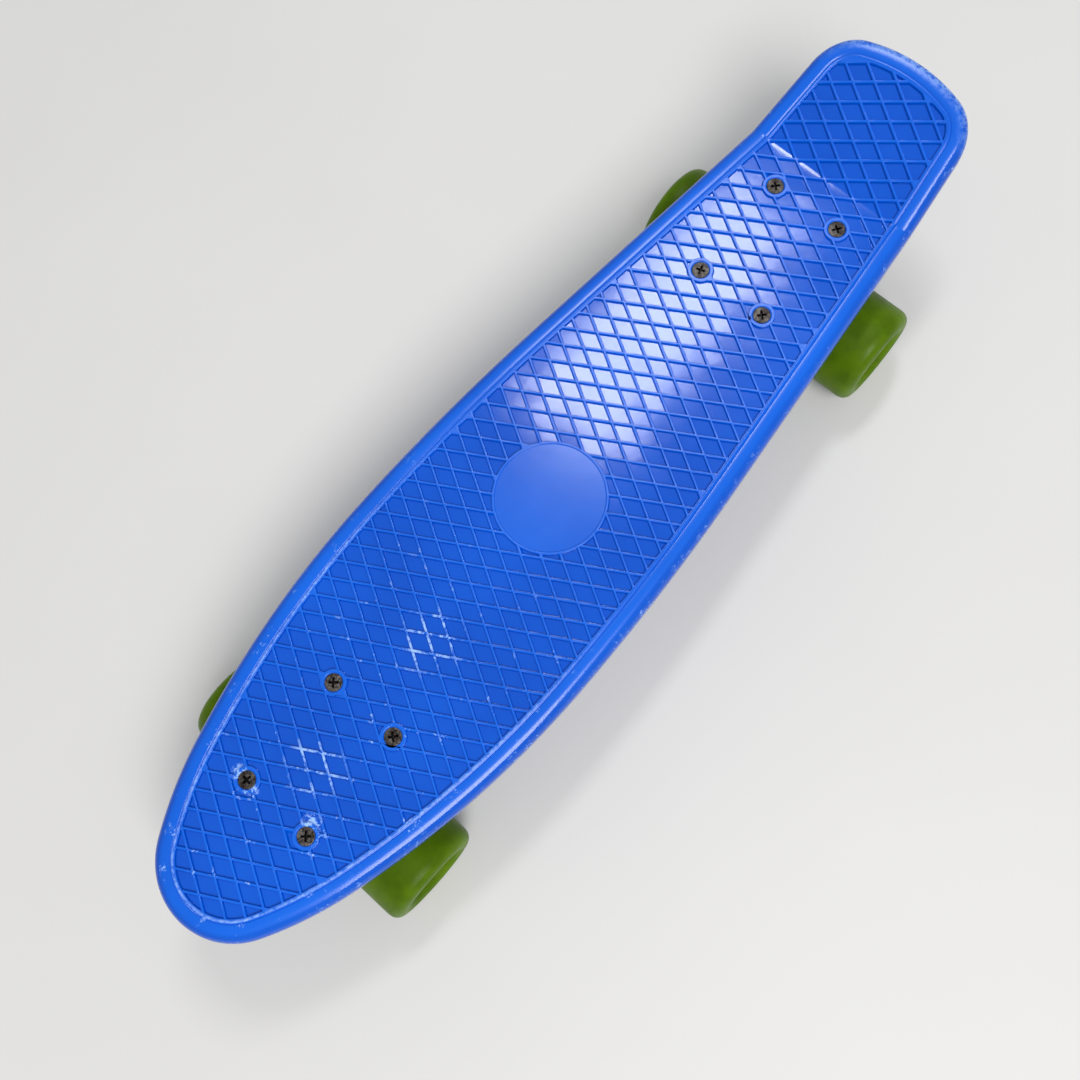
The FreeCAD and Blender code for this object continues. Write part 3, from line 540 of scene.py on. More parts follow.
def cut_sheet(bm, rings, lines):
    """Faces inside the first ring, cut by the others and by the lines. Gives one set of faces per ring."""
    points, faces, edges = [], [], []
    for ring in rings:
        faces.append(list(range(len(points), len(points) + len(ring))))
        points += ring
    for start, end in lines:
        edges.append((len(points), len(points) + 1))
        points += [start, end]
    found = delaunay_2d_cdt(points, edges, faces, 4, 1e-3)
    verts = [bm.verts.new((p.x, p.y, 0)) for p in found[0]]
    marks = bm.faces.layers.int.new("rings")
    for corners, origins in zip(found[2], found[5]):
        if 0 in origins:
            face = bm.faces.new([verts[i] for i in corners])
            face[marks] = sum(1 << ring for ring in set(origins))
    bmesh.ops.delete(bm, geom=[v for v in verts if not v.link_faces], context="VERTS")
    bmesh.ops.remove_doubles(bm, verts=bm.verts, dist=CLOSE)
    return [{f for f in bm.faces if f[marks] >> i & 1} for i in range(len(rings))]


def ring_index(bm, ring):
    """The number of the ring point under each border vertex, which is put exactly on it."""
    tree = KDTree(len(ring))
    for i, point in enumerate(ring):
        tree.insert((point.x, point.y, 0), i)
    tree.balance()
    index = {}
    for vert in {v for e in bm.edges if e.is_boundary for v in e.verts}:
        spot, i, away = tree.find((vert.co.x, vert.co.y, 0))
        if away < 2 * CLOSE:
            vert.co.x, vert.co.y = spot.x, spot.y
            index[vert] = i
    return index


def merge_faces(bm, faces):
    """One face in place of many."""
    if len(faces) == 1:
        return next(iter(faces))
    return bmesh.ops.dissolve_faces(bm, faces=in_order(bm.faces, faces), use_verts=False)["region"][0]


# %% Pockets
LEAST_ROOM = 0.8
hand = random.Random(5)


def sink(bm, faces, slope, depth, tilt=0.0):
    """Pushes each face down as a pocket whose walls lean in by slope, and gives the floors.
    With a tilt no two floors lie quite alike, as in a mould polished by hand."""
    floors = bmesh.ops.extrude_discrete_faces(bm, faces=faces)["faces"]
    for floor in floors:
        middle = floor.calc_center_median_weighted()
        inner_radius = 2 * floor.calc_area() / floor.calc_perimeter()
        shrink = max(1 - slope / inner_radius, 0.5)
        lean = Vector((hand.uniform(-tilt, tilt), hand.uniform(-tilt, tilt)))
        for vert in floor.verts:
            away = (vert.co - middle) * shrink
            vert.co = middle + away - Vector((0, 0, depth + lean.dot(away.xy)))
    return floors


def roomy(face):
    return 2 * face.calc_area() / face.calc_perimeter() > LEAST_ROOM


# %% The top sheet with its lattice, pad and bosses
RIB_WALL = 0.42
FIELD_DEPTH = 1.55
CELL_TILT = 0.009
PAD_X, PAD_RADIUS, PAD_BEAD = 11.0, 30.3, 1.2
BOSS_RADIUS, MOUTH_RADIUS = 6.9, 5.15
PAD_WALL, PAD_SUNK = 0.35, 0.5
MOUTH_WALL, MOUTH_SUNK, CONE_DEPTH = 0.2, 0.35, 2.4
PAD_STEPS, HOLE_STEPS = 72, 28
SOFT_EDGE = 0.3
HOLE_RADIUS = 2.7
HEAD_RADIUS = 4.8


def bolt_centres():
    """The eight bolts, from the corners of the two packed bolt sets."""
    centres = []
    for node in ("deck_bolts_front", "deck_bolts_rear"):
        low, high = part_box(node)
        for x in (low.x / MM + HEAD_RADIUS, high.x / MM - HEAD_RADIUS):
            for y in (low.y / MM + HEAD_RADIUS, high.y / MM - HEAD_RADIUS):
                centres.append(Vector((x, y)))
    return centres


BOLTS = bolt_centres()
print("bolts", [(round(b.x, 2), round(b.y, 2)) for b in BOLTS])


# %% The sheet itself
def make_top(bm):
    """Gives the floors of the drilled holes, which are still closed."""
    rings = [ring_at(FIELD_INSET), outline(FIELD_INSET + RIB_HALF)]
    rings += [circle(PAD_X, 0, radius, PAD_STEPS) for radius in (PAD_RADIUS, PAD_RADIUS - PAD_BEAD)]
    rings += [circle(b.x, b.y, BOSS_RADIUS, HOLE_STEPS) for b in BOLTS]
    rings += [circle(b.x, b.y, MOUTH_RADIUS, HOLE_STEPS) for b in BOLTS]
    inside = cut_sheet(bm, rings, lattice_lines())
    islands = inside[2].union(*inside[4:4 + len(BOLTS)])
    cells = []
    for face in in_order(bm.faces, inside[1] - islands):
        x, y, _ = face.calc_center_median()
        on_rib = any(rib_phase(x, y, family) < RIB_HALF * 1.1 for family in LATTICE)
        if not on_rib and roomy(face):
            cells.append(face)
    print("cells", len(cells))
    pad = merge_faces(bm, inside[3])
    mouths = [merge_faces(bm, group) for group in inside[4 + len(BOLTS):]]
    rims = {e for f in cells for e in f.edges} | set(pad.edges) | {e for f in mouths for e in f.edges}
    sink(bm, cells, RIB_WALL, FIELD_DEPTH, CELL_TILT)
    sink(bm, [pad], PAD_WALL, PAD_SUNK)
    seats = sink(bm, mouths, MOUTH_WALL, MOUTH_SUNK)
    drills = sink(bm, seats, MOUTH_RADIUS - MOUTH_WALL - HOLE_RADIUS, CONE_DEPTH)
    bmesh.ops.bevel(bm, geom=in_order(bm.edges, rims), offset=SOFT_EDGE, offset_type="OFFSET", segments=3,
                    profile=0.5, affect="EDGES", clamp_overlap=False, material=-1)
    return [f for f in drills if f.is_valid]


# %% [markdown]
# ## The rim and the skirt
# The sheet's border is drawn outwards ring by ring: up over the thin bead, down into a fine groove,
# across the softly rounded rim, down the side and back in under the skirt. Each border point has a
# number on the outline, so every new ring is the same outline at another inset and depth.

# %% Rings from the field's border to the underside
UNDER_DEPTH = 10.5
RIM_SECTION = [
    # inset, depth
    (11.25, -0.16), (10.9, -0.26), (10.5, -0.26), (10.15, -0.12), (9.95, 0.30), (9.65, 0.42), (9.35, 0.30),
    (9.1, 0.06), (8.5, 0.0), (7.2, 0.02), (5.6, 0.16), (4.2, 0.5), (3.0, 1.05), (2.0, 1.8), (1.15, 2.8),
    (0.5, 4.0), (0.12, 5.4), (0.0, 7.0), (0.0, 10.4), (0.25, 11.6), (0.9, 12.5), (1.9, 12.95), (3.2, 13.0),
    (7.4, 13.0), (8.6, 12.8), (9.3, 12.2), (UNDER_INSET, 11.4), (UNDER_INSET, UNDER_DEPTH),
]


def draw_rim(bm):
    index = ring_index(bm, ring_at(FIELD_INSET))
    edges = [e for e in bm.edges if e.is_boundary]
    for inset, depth in RIM_SECTION:
        ring = ring_at(inset)
        made = bmesh.ops.extrude_edge_only(bm, edges=edges)["geom"]
        edges = [g for g in made if isinstance(g, bmesh.types.BMEdge)]
        outer = {}
        for vert in {v for e in edges for v in e.verts}:
            i = next(index[e.other_vert(vert)] for e in vert.link_edges if e.other_vert(vert) in index)
            vert.co = (ring[i].x, ring[i].y, -depth)
            outer[vert] = i
        index = outer


# %% The underside with its ribs and truck pads
PLATE_DEPTH = 6.0
PAD_HALF_LONG, PAD_HALF_WIDE = 44.0, 31.5
UNDER_WALL = 0.6


def stamp(target, bm, matrix=None):
    """Adds a small bmesh to a bigger one and frees it."""
    if matrix is not None:
        bmesh.ops.transform(bm, matrix=matrix, verts=bm.verts)
    mesh = bpy.data.meshes.new("stamp")
    bm.to_mesh(mesh)
    bm.free()
    target.from_mesh(mesh)
    bpy.data.meshes.remove(mesh)


def on_under_rib(x, y):
    across = (x - TRUCK_MID) % (TRUCK_HALF_SPACING / 3)
    across = min(across, TRUCK_HALF_SPACING / 3 - across)
    return across < UNDER_RIB_HALF or any(abs(y - rib) < UNDER_RIB_HALF for rib in UNDER_RIBS_Y)


def make_underside(target):
    bm = bmesh.new()
    rings = [ring_at(UNDER_INSET)]
    for end in (-1, 1):
        x = TRUCK_MID + end * TRUCK_HALF_SPACING
        corners = [(-1, -1), (1, -1), (1, 1), (-1, 1)]
        rings.append([Vector((x + i * PAD_HALF_LONG, j * PAD_HALF_WIDE)) for i, j in corners])
    rings += [circle(b.x, b.y, HOLE_RADIUS, HOLE_STEPS) for b in BOLTS]
    inside = cut_sheet(bm, rings, under_lines())
    ring_index(bm, rings[0])
    cells = []
    for face in in_order(bm.faces, set(bm.faces) - inside[1] - inside[2]):
        x, y, _ = face.calc_center_median()
        if not on_under_rib(x, y) and roomy(face):
            cells.append(face)
    bmesh.ops.delete(bm, geom=in_order(bm.faces, set().union(*inside[3:])), context="FACES")
    bmesh.ops.reverse_faces(bm, faces=bm.faces)
    sink(bm, cells, UNDER_WALL, PLATE_DEPTH - UNDER_DEPTH)
    stamp(target, bm, Matrix.Translation((0, 0, -UNDER_DEPTH)))


# %% [markdown]
# ## Bending the kicktail
# All of this is drawn flat. The kicktail then lifts every point behind the bend. The mould has a crisp
# crease there, so the arc is short, and a layer deeper in the plastic follows a larger arc. Extra cuts
# across the bend let the big flat faces curve.

# %% The kick's height at any x and depth
CREASE_X = -219.28
KICK_RADIUS = 6.0
KICK_ANGLE = math.radians(22)
KICK_START = CREASE_X + KICK_RADIUS * math.tan(KICK_ANGLE / 2)
BEND_CUTS = 7
# points of the outline are searched this finely
EDGE_SHARE = 8


def kick_height(x, depth):
    bend = KICK_RADIUS + depth
    bend_end = KICK_START - bend * math.sin(KICK_ANGLE)
    if x >= KICK_START:
        return -depth
    if x >= bend_end:
        return KICK_RADIUS - math.sqrt(bend**2 - (x - KICK_START) ** 2)
    return KICK_RADIUS - bend * math.cos(KICK_ANGLE) + (bend_end - x) * math.tan(KICK_ANGLE)


def drill_through(bm):
    """Joins each hole's mouth above to its rim below."""
    for bolt in BOLTS:
        near_bolt = [e for e in bm.edges if e.is_boundary
                     and (e.verts[0].co.xy - bolt).length < BOSS_RADIUS]
        bmesh.ops.bridge_loops(bm, edges=near_bolt)


def cut_across_bend(bm):
    for i in range(BEND_CUTS):
        x = KICK_START - (KICK_RADIUS + UNDER_DEPTH) * math.sin(KICK_ANGLE) * i / (BEND_CUTS - 1)
        geometry = bm.verts[:] + bm.edges[:] + bm.faces[:]
        bmesh.ops.bisect_plane(bm, geom=geometry, plane_co=(x, 0, 0), plane_no=(1, 0, 0), dist=1e-4)


def mark_and_bend(bm):
    """Writes how deep and how far inland each point lies, then lifts it to its place on the board."""
    ring = outline(0)
    tree = KDTree(len(ring) * EDGE_SHARE)
    for i in range(len(ring) * EDGE_SHARE):
        start, end = ring[i // EDGE_SHARE], ring[(i // EDGE_SHARE + 1) % len(ring)]
        point = start.lerp(end, (i % EDGE_SHARE) / EDGE_SHARE)
        tree.insert((point.x, point.y, 0), i)
    tree.balance()
    sunk = bm.verts.layers.float.new("sunk")
    inland = bm.verts.layers.float.new("inland")
    for vert in bm.verts:
        x, y, z = vert.co
        vert[sunk] = -z
        vert[inland] = tree.find((x, y, 0))[2]
        vert.co = (x * MM, y * MM, (TOP + kick_height(x, -z)) * MM)


# %% The deck
def make_deck():
    bm = bmesh.new()
    drills = make_top(bm)
    draw_rim(bm)
    bmesh.ops.delete(bm, geom=drills, context="FACES_ONLY")
    make_underside(bm)
    bmesh.ops.remove_doubles(bm, verts=bm.verts, dist=1e-3)
    drill_through(bm)
    print("open edges left", sum(e.is_boundary for e in bm.edges))
    cut_across_bend(bm)
    mark_and_bend(bm)
    return even_shading(finish_mesh(bm, "deck_moulding", DECK_PLASTIC))


attach(make_deck(), "deck", "deck_plastic", "deck")

# %% [markdown]
# ## Turned parts
# Wheels, washers, bushings, axles and kingpins are bodies of revolution. Each is a closed profile of
# radius and height, spun once round Z by bmesh and then laid along its own line on the board.

# %% A lathe with rounded corners
def lathe(profile, steps=64):
    """Spins (radius, height) points round Z. The last point joins the first."""
    bm = bmesh.new()
    verts = [bm.verts.new((r, 0, h)) for r, h in profile]
    pairs = zip(verts, verts[1:] + verts[:1])
    edges = [bm.edges.new(pair) for pair in pairs if pair[0].co.x + pair[1].co.x > 0]
    bmesh.ops.spin(bm, geom=verts + edges, axis=(0, 0, 1), cent=(0, 0, 0), steps=steps,
                   angle=2 * math.pi, use_merge=True)
    bmesh.ops.remove_doubles(bm, verts=bm.verts, dist=1e-4)
    return bm


def rounded(corner, start, end, radius, steps):
    """A soft corner of a profile between two neighbouring points."""
    corner, start, end = Vector(corner), Vector(start), Vector(end)
    a = corner + (start - corner).normalized() * radius
    b = corner + (end - corner).normalized() * radius
    points = []
    for i in range(steps + 1):
        t = i / steps
        points.append(tuple(a.lerp(corner, t).lerp(corner.lerp(b, t), t)))
    return points


def round_profile(corners, radii):
    profile = []
    for i, corner in enumerate(corners):
        if radii[i] > 0:
            steps = 9 if radii[i] > 3 else 3
            profile += rounded(corner, corners[i - 1], corners[(i + 1) % len(corners)], radii[i], steps)
        else:
            profile.append(corner)
    return profile


def ring_profile(bore, radius, low, high, soft):
    """A washer-like ring with soft outer corners."""
    return round_profile([(bore, low), (radius, low), (radius, high), (bore, high)], [0, soft, soft, 0])


def threaded_rod(radius, low, high, thread_from, pitch=1.0, cut=0.3):
    """A rod along Z with thread rings from thread_from down to its low end."""
    profile = [(0, high), (radius, high)]
    rings = int((thread_from - low - 0.8) / pitch)
    for k in range(rings):
        z = thread_from - k * pitch
        profile += [(radius, z), (radius - cut, z - pitch / 2)]
    return profile + [(radius - cut, low + 0.4), (radius - cut - 0.5, low), (0, low)]


# %% Places of the truck's lines
def box_mm(node):
    low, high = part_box(node)
    return low / MM, high / MM


RING_HEIGHT = 48.5
RING_OUT = 170.5
KINGPIN_TILT = math.radians(14)
ENDS = {"front": 1, "rear": -1}
SIDES = {"left": 1, "right": -1}


def kingpin_line(end):
    """Z runs up the kingpin from the middle of the hanger's ring."""
    sign = ENDS[end]
    return (Matrix.Translation((TRUCK_MID + sign * RING_OUT, 0, RING_HEIGHT))
            @ Matrix.Rotation(sign * KINGPIN_TILT, 4, "Y"))


def axle_line(end, side):
    """Z runs outwards along the axle from the middle of the board."""
    low, high = box_mm(f"axle_{end}")
    middle = (low + high) / 2
    return (Matrix.Translation((middle.x, 0, middle.z))
            @ Matrix.Rotation(-SIDES[side] * math.pi / 2, 4, "X"))


def finish_part(bm, name, material):
    bmesh.ops.scale(bm, verts=bm.verts, vec=(MM, MM, MM))
    return finish_mesh(bm, name, FINISH[material])


# %% [markdown]
# ## Wheels
# A cruiser wheel is a fat ring of soft urethane with large rounded lips. Its face falls away to a
# recess that clears the axle nut, and a seat on each side holds a bearing.

# %% Four wheels
CLEAR = 0.01
SEAT_RADIUS, HUB_BORE, BEARING_WIDTH = 11.0, 9.2, 7.0
LIP_ROUND = 7.5
WHEEL_STEPS = 128


def make_wheel(end, side):
    node = f"wheel_{end}_{side}"
    low, high = box_mm(node)
    bearings = box_mm(f"bearing_outer_rings_{end}_{side}")
    seat_in, seat_out = sorted(abs(corner.y) for corner in bearings)
    radius = (high.z - low.z) / 2 - CLEAR
    near, far = sorted((abs(low.y), abs(high.y)))
    corners = [
        (12.5, seat_in), (18.0, near + 1.2), (19.6, near), (radius, near), (radius, far),
        (21.4, far), (20.7, far - 0.6), (19.7, far - 0.6), (18.4, far - 1.8),
        (12.6, seat_out), (SEAT_RADIUS, seat_out), (SEAT_RADIUS, seat_out - BEARING_WIDTH),
        (HUB_BORE, seat_out - BEARING_WIDTH), (HUB_BORE, seat_in + BEARING_WIDTH),
        (SEAT_RADIUS, seat_in + BEARING_WIDTH), (SEAT_RADIUS, seat_in),
    ]
    radii = [0.3, 0.5, 0.6, LIP_ROUND, LIP_ROUND, 0.3, 0.2, 0.3, 0.8, 0.4, 0, 0, 0, 0, 0, 0]
    bm = lathe(round_profile(corners, radii), WHEEL_STEPS)
    bmesh.ops.transform(bm, matrix=axle_line(end, side), verts=bm.verts)
    piece = finish_part(bm, f"{node}_tyre", "wheel_urethane")
    return attach(piece, node, "wheel_urethane", node)


for end in ENDS:
    for side in SIDES:
        make_wheel(end, side)

# %% [markdown]
# ## Cast trucks
# Baseplate and hanger are cast and tumbled, so no edge is sharp. The plain parts are copied, turned
# into an even skin of small faces by the Remesh modifier, and smoothed until edges and inner corners
# are as soft as on a real casting.

# %% Soft castings
VOXEL = 0.00065
HANGER_PASSES, BASEPLATE_PASSES = 8, 5


def cast(node, name, body, passes):
    bm = bmesh.new()
    bm.from_mesh(frame["nodes"][node].data)
    bmesh.ops.remove_doubles(bm, verts=bm.verts, dist=1e-6)
    rough = bpy.data.meshes.new(name + "_rough")
    bm.to_mesh(rough)
    bm.free()
    piece = bpy.data.objects.new(name, rough)
    bpy.context.collection.objects.link(piece)
    skin = piece.modifiers.new("skin", "REMESH")
    skin.mode = "VOXEL"
    skin.voxel_size = VOXEL
    soften = piece.modifiers.new("soften", "SMOOTH")
    soften.factor = 0.5
    soften.iterations = passes
    graph = bpy.context.evaluated_depsgraph_get()
    mesh = bpy.data.meshes.new_from_object(piece.evaluated_get(graph))
    piece.modifiers.clear()
    piece.data = mesh
    bpy.data.meshes.remove(rough)
    mesh.name = name
    mesh.shade_smooth()
    mesh.materials.clear()
    mesh.materials.append(FINISH["truck_casting"])
    print(name, len(mesh.polygons), "faces")
    return attach(piece, body, "truck_casting", node)


for end in ENDS:
    cast(f"hanger_{end}", f"hanger_casting_{end}", f"hanger_{end}", HANGER_PASSES)
    cast(f"baseplate_{end}", f"baseplate_casting_{end}", "deck", BASEPLATE_PASSES)

# %% [markdown]
# ## Bushings
# Two soft rings on the kingpin let the hanger lean and push it back. The nut squeezes them, so they
# bulge a little at mid height.

# %% Bulging bushings
RING_HALF = 4.5
BUSHING_BORE = 4.9
BULGE = 0.5
BUSHING_WIDE, UPPER_FAR, LOWER_FAR = 12.5, 11.5, 10.5
UPPER_CUP_AT, LOWER_CUP_AT = 18.5, -15.0
BUSHING_STEPS = 10


def make_bushing(end, name, seat_radius, far_radius, near_z, far_z):
    profile = [(BUSHING_BORE, near_z)]
    for i in range(BUSHING_STEPS + 1):
        t = i / BUSHING_STEPS
        radius = seat_radius + (far_radius - seat_radius) * t + BULGE * (math.sin(math.pi * t) - 1)
        profile.append((radius, near_z + (far_z - near_z) * t))
    profile.append((BUSHING_BORE, far_z))
    bm = lathe(profile)
    line = kingpin_line(end)
    bmesh.ops.transform(bm, matrix=line, verts=bm.verts)
    piece = finish_part(bm, f"{name}_rubber_{end}", "bushing_urethane")
    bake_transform(piece)
    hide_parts(f"{name}_{end}")
    return piece


for end in ENDS:
    make_bushing(end, "upper_bushing", BUSHING_WIDE, UPPER_FAR, RING_HALF, UPPER_CUP_AT)
    make_bushing(end, "lower_bushing", BUSHING_WIDE, LOWER_FAR, -RING_HALF, LOWER_CUP_AT)

# %% [markdown]
# ## Nuts, washers, kingpins and axles
# A hexagon nut is a round bar with six flats milled on it, so its corners end in small arcs. Here every
# ring of the nut has a radius that depends on the angle: round at the chamfer, six-sided in between.
# A lock nut carries a collar that holds a nylon ring.

# %% A lock nut
def flat_radius(flats, angle):
    """Distance from the middle to a hexagon's side at an angle."""
    turn = math.radians(60)
    return flats / 2 / math.cos((angle + turn / 2) % turn - turn / 2)


def lock_nut(flats, height, bore, steps=60):
    """Stands on z = 0, with its collar up."""
    face = 0.97 * flats / 2
    hex_height = 0.72 * height
    collar = 0.88 * face
    chamfer = math.tan(math.radians(30))

    def fixed(value):
        return lambda angle: value

    def across(angle):
        return flat_radius(flats, angle)

    def cut_back(angle):
        return max(across(angle) - face, 0) * chamfer

    # each ring: its radius and its height at an angle
    rings = [
        (fixed(face), fixed(0.0)),
        (across, cut_back),
        (across, lambda angle: hex_height - cut_back(angle)),
        (fixed(face), fixed(hex_height)),
        (fixed(collar), fixed(hex_height)),
        (fixed(collar), fixed(height - 0.5)),
        (fixed(0.92 * collar), fixed(height)),
        (fixed(bore), fixed(height - 0.2)),
    ]
    bm = bmesh.new()
    bmesh.ops.create_circle(bm, cap_ends=False, radius=bore, segments=steps)
    first = bm.edges[:]
    edges = first
    for radius, level in rings:
        made = bmesh.ops.extrude_edge_only(bm, edges=edges)["geom"]
        edges = [g for g in made if isinstance(g, bmesh.types.BMEdge)]
        for vert in {v for e in edges for v in e.verts}:
            a = math.atan2(vert.co.y, vert.co.x)
            vert.co = (radius(a) * math.cos(a), radius(a) * math.sin(a), level(a))
    bmesh.ops.bridge_loops(bm, edges=first + edges)
    return bm


HALF_TURN = Matrix.Rotation(math.pi, 4, "X")


def lifted(height):
    return Matrix.Translation((0, 0, height))


# %% Axles with their nuts and thin washers
AXLE_RADIUS, AXLE_HALF, AXLE_THREAD = 3.98, 73.5, 12.0
AXLE_NUT_AT, AXLE_NUT_FLATS, AXLE_NUT_HEIGHT = 65.35, 12.6, 6.95
WASHER_PLACES = (39.75, 64.55)
WASHER_THICK, WASHER_RADIUS = 0.7, 5.55
BORE_ROOM = 0.1
ROD_STEPS = 40

for end in ENDS:
    nuts, washers, axle = bmesh.new(), bmesh.new(), bmesh.new()
    for side in SIDES:
        line = axle_line(end, side)
        nut = lock_nut(AXLE_NUT_FLATS, AXLE_NUT_HEIGHT, AXLE_RADIUS + BORE_ROOM)
        stamp(nuts, nut, line @ lifted(AXLE_NUT_AT))
        for low in WASHER_PLACES:
            flat = ring_profile(AXLE_RADIUS + BORE_ROOM, WASHER_RADIUS, low, low + WASHER_THICK, 0.15)
            stamp(washers, lathe(flat, ROD_STEPS), line)
    lower = threaded_rod(AXLE_RADIUS, -AXLE_HALF, 0, AXLE_THREAD - AXLE_HALF)[2:]
    both_ends = [(r, -z) for r, z in reversed(lower)] + lower
    stamp(axle, lathe(both_ends, ROD_STEPS), axle_line(end, "left"))
    hanger = f"hanger_{end}"
    piece = even_shading(finish_part(nuts, f"axle_lock_nuts_{end}", "zinc_steel"))
    attach(piece, hanger, "zinc_steel", f"axle_nuts_{end}")
    piece = finish_part(washers, f"axle_washers_{end}", "zinc_steel")
    attach(piece, hanger, "zinc_steel", f"speed_washers_{end}")
    piece = finish_part(axle, f"axle_rod_{end}", "zinc_steel")
    attach(piece, hanger, "zinc_steel", f"axle_{end}")

# %% Kingpins with their nut and cupped washers
KINGPIN_RADIUS, KINGPIN_LOW, KINGPIN_HIGH, KINGPIN_THREAD = 4.74, -26.0, 24.0, -12.0
KINGPIN_NUT_AT, KINGPIN_NUT_FLATS, KINGPIN_NUT_HEIGHT = -16.55, 14.2, 7.95
# radius and height of a cup's section, from its seat on the bushing
CUP = [(BUSHING_BORE, 0.02), (8.5, 0.02), (11.0, 0.05), (11.45, 0.4), (11.2, 0.9), (10.4, 1.45),
       (BUSHING_BORE, 1.45)]

for end in ENDS:
    line = kingpin_line(end)
    cups, nut, pin = bmesh.new(), bmesh.new(), bmesh.new()
    for seat, away in ((UPPER_CUP_AT, 1), (LOWER_CUP_AT, -1)):
        stamp(cups, lathe([(r, seat + away * h) for r, h in CUP], 56), line)
    hexagon = lock_nut(KINGPIN_NUT_FLATS, KINGPIN_NUT_HEIGHT, KINGPIN_RADIUS + BORE_ROOM)
    stamp(nut, hexagon, line @ lifted(KINGPIN_NUT_AT) @ HALF_TURN)
    rod = threaded_rod(KINGPIN_RADIUS, KINGPIN_LOW, KINGPIN_HIGH, KINGPIN_THREAD)
    stamp(pin, lathe(rod, ROD_STEPS), line)
    piece = finish_part(cups, f"kingpin_cups_{end}", "zinc_steel")
    attach(piece, "deck", "zinc_steel", f"kingpin_washers_{end}")
    piece = even_shading(finish_part(nut, f"kingpin_lock_nut_{end}", "zinc_steel"))
    attach(piece, "deck", "zinc_steel", f"kingpin_nut_{end}")
    piece = finish_part(pin, f"kingpin_bolt_{end}", "zinc_steel")
    attach(piece, "deck", "zinc_steel", f"kingpin_{end}")

# %% Lock nuts of the deck screws, under the baseplates
DECK_NUT_FLATS = 9.4
SCREW_SHANK = 2.4


def bolts_of(end):
    return [bolt for bolt in BOLTS if bolt.x * ENDS[end] > 0]


for end in ENDS:
    low, high = box_mm(f"deck_nuts_{end}")
    deck_nuts = bmesh.new()
    for bolt in bolts_of(end):
        place_of_nut = Matrix.Translation((bolt.x, bolt.y, high.z)) @ HALF_TURN
        nut = lock_nut(DECK_NUT_FLATS, high.z - low.z, SCREW_SHANK + BORE_ROOM / 2)
        stamp(deck_nuts, nut, place_of_nut)
    piece = even_shading(finish_part(deck_nuts, f"deck_lock_nuts_{end}", "zinc_steel"))
    attach(piece, "deck", "zinc_steel", f"deck_nuts_{end}")

# %% [markdown]
# ## Deck screws
# Countersunk machine screws with a cross recess. The head's face is cut by the same routine as the
# sheets, with a cross for an island; the cross is pressed in and the border is drawn down over the
# cone and the thread.

# %% Eight screws
SCREW_HEAD = 4.7
SCREW_LONG = 28.0
HEAD_SUNK = 0.3
CROSS_ARM, CROSS_HALF = 2.7, 0.62
THREAD_TOP, SCREW_PITCH, THREAD_CUT = -15.0, 0.8, 0.35


def cross_points(turn):
    points = []
    for quarter in range(4):
        a = turn + quarter * math.pi / 2
        arm = ((CROSS_ARM, -CROSS_HALF), (CROSS_ARM, CROSS_HALF), (CROSS_HALF, CROSS_HALF))
        for along, across in arm:
            points.append(Vector((along * math.cos(a) - across * math.sin(a),
                                  along * math.sin(a) + across * math.cos(a))))
    return points


def screw(turn):
    bm = bmesh.new()
    inside = cut_sheet(bm, [circle(0, 0, SCREW_HEAD - 0.45, 32), cross_points(turn)], [])
    recess = merge_faces(bm, inside[1])
    lip = sink(bm, [recess], 0.1, 0.25)
    sink(bm, lip, 0.35, 1.5)
    rings = [(SCREW_HEAD - 0.12, -0.12), (SCREW_HEAD, -0.4), (SCREW_HEAD - 0.1, -0.55),
             (SCREW_SHANK, -2.8), (SCREW_SHANK, THREAD_TOP)]
    for k in range(int((SCREW_LONG - 16.0) / SCREW_PITCH)):
        z = THREAD_TOP - k * SCREW_PITCH
        rings += [(SCREW_SHANK, z - 0.1), (SCREW_SHANK - THREAD_CUT, z - 0.5)]
    tip = 0.7 - SCREW_LONG
    rings += [(SCREW_SHANK - THREAD_CUT, tip), (SCREW_SHANK - 0.8, tip - 0.35)]
    edges = [e for e in bm.edges if e.is_boundary]
    for radius, z in rings:
        made = bmesh.ops.extrude_edge_only(bm, edges=edges)["geom"]
        edges = [g for g in made if isinstance(g, bmesh.types.BMEdge)]
        for vert in {v for e in edges for v in e.verts}:
            scale = radius / vert.co.xy.length
            vert.co = (vert.co.x * scale, vert.co.y * scale, z)
    bmesh.ops.contextual_create(bm, geom=edges)
    return bm


shuffle = random.Random(11)
for end in ENDS:
    screws = bmesh.new()
    for bolt in bolts_of(end):
        head_place = Matrix.Translation((bolt.x, bolt.y, TOP - HEAD_SUNK))
        stamp(screws, screw(shuffle.uniform(0, math.pi / 2)), head_place)
    piece = even_shading(finish_part(screws, f"deck_screws_{end}", "black_bolt_steel"))
    attach(piece, "deck", "black_bolt_steel", f"deck_bolts_{end}")

# %% [markdown]
# ## The room, the light and the camera
# A pale floor, a soft sky and one large soft light. A window-like light hangs high beyond the tail, on
# the rider's right, and lays the bright gloss on the cell floors. The camera stands nearly overhead.

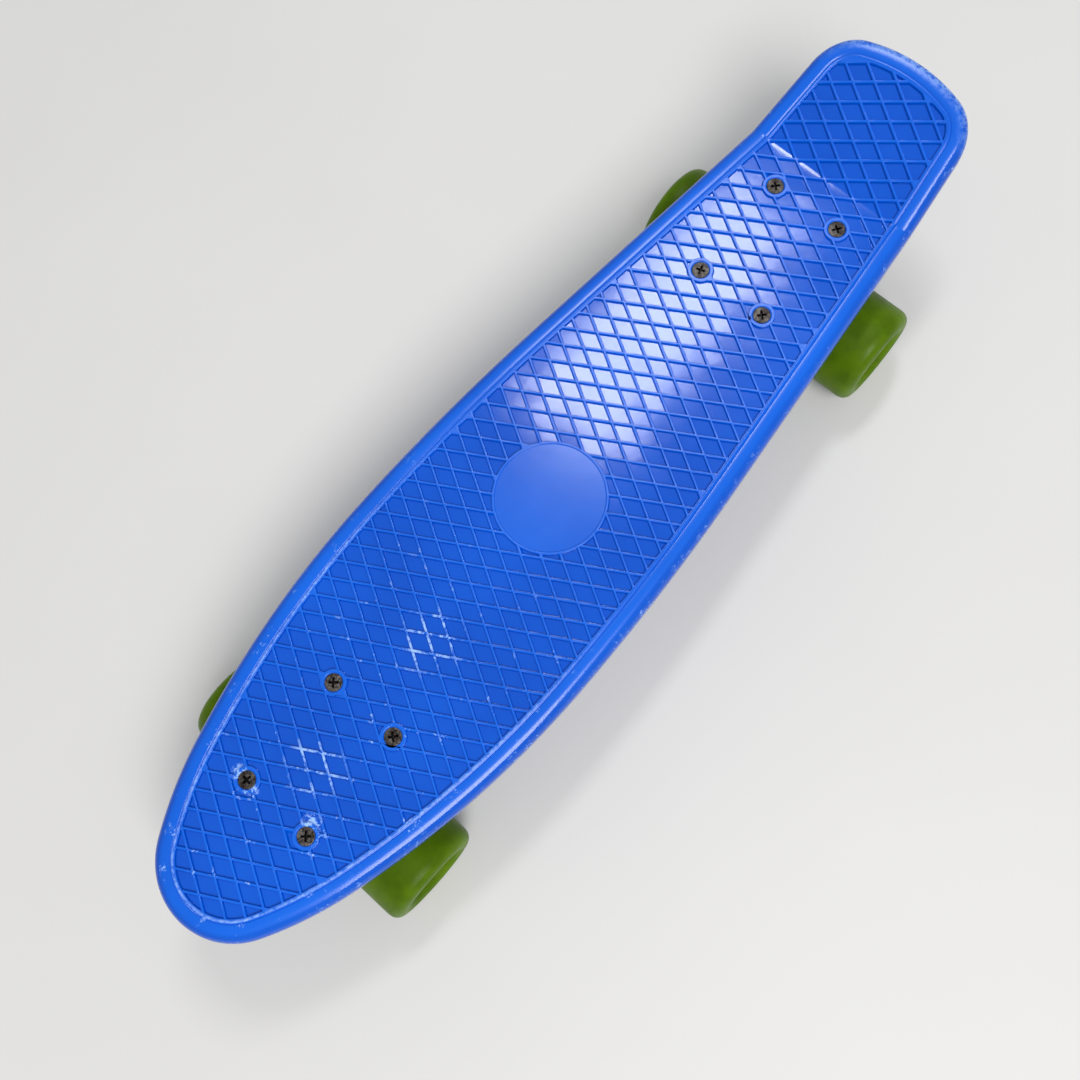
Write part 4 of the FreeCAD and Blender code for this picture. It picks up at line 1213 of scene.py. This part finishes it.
# %% Floor
floor_material, tree, shader = new_material("floor_paint", roughness=0.6)
cloud = noise(tree, place(tree), 3.0)
give(tree, shader, blend_colour(tree, cloud, (0.62, 0.61, 0.59, 1), (0.68, 0.67, 0.65, 1)))
bpy.ops.mesh.primitive_plane_add(size=14, location=(0, 0, 0))
floor = bpy.context.object
floor.name = "floor"
floor.data.materials.append(floor_material)


# %% Lights
WINDOW_AT, WINDOW_AIM = (-0.84, -0.565, 2.09), (-0.84, -0.565, 0)
WINDOW_SIZE, WINDOW_WATTS, WINDOW_TINT = (0.76, 0.26), 13, (0.95, 0.98, 1)
SOFT_AT, SOFT_AIM, SOFT_SIZE, SOFT_WATTS = (0.6, 1.4, 2.4), (0, 0, 0), (1.3, 1.3), 62
SKY_COLOUR, SKY_STRENGTH = (0.96, 0.97, 1.0, 1), 0.42


def area_light(name, location, target, size, watts, colour=(1, 1, 1)):
    data = bpy.data.lights.new(name, "AREA")
    data.shape = "RECTANGLE"
    data.size, data.size_y = size
    data.energy = watts
    data.color = colour
    lamp = bpy.data.objects.new(name, data)
    lamp.location = location
    lamp.rotation_euler = (Vector(target) - Vector(location)).to_track_quat("-Z", "Y").to_euler()
    bpy.context.collection.objects.link(lamp)
    print(name, watts, "watts")


area_light("window_light", WINDOW_AT, WINDOW_AIM, WINDOW_SIZE, WINDOW_WATTS, WINDOW_TINT)
area_light("soft_light", SOFT_AT, SOFT_AIM, SOFT_SIZE, SOFT_WATTS)
world = bpy.data.worlds.new("soft_sky")
world.use_nodes = True
sky = world.node_tree.nodes["Background"]
sky.inputs["Color"].default_value = SKY_COLOUR
sky.inputs["Strength"].default_value = SKY_STRENGTH
bpy.context.scene.world = world
bpy.context.scene.view_settings.view_transform = "Standard"

# %% Camera
camera_data = bpy.data.cameras.new("camera")
camera = bpy.data.objects.new("camera", camera_data)
CAMERA_PLACE = Vector((0.1044, 0.1348, 0.6583))
CAMERA_TURN = tuple(math.radians(angle) for angle in (13.4585, 4.5688, 131.0649))
SENSOR_WIDTH, LENS = 36, 38.33
camera_data.sensor_width = SENSOR_WIDTH
camera_data.lens = LENS
bpy.context.collection.objects.link(camera)
bpy.context.scene.camera = camera
camera.location = CAMERA_PLACE
camera.rotation_euler = CAMERA_TURN
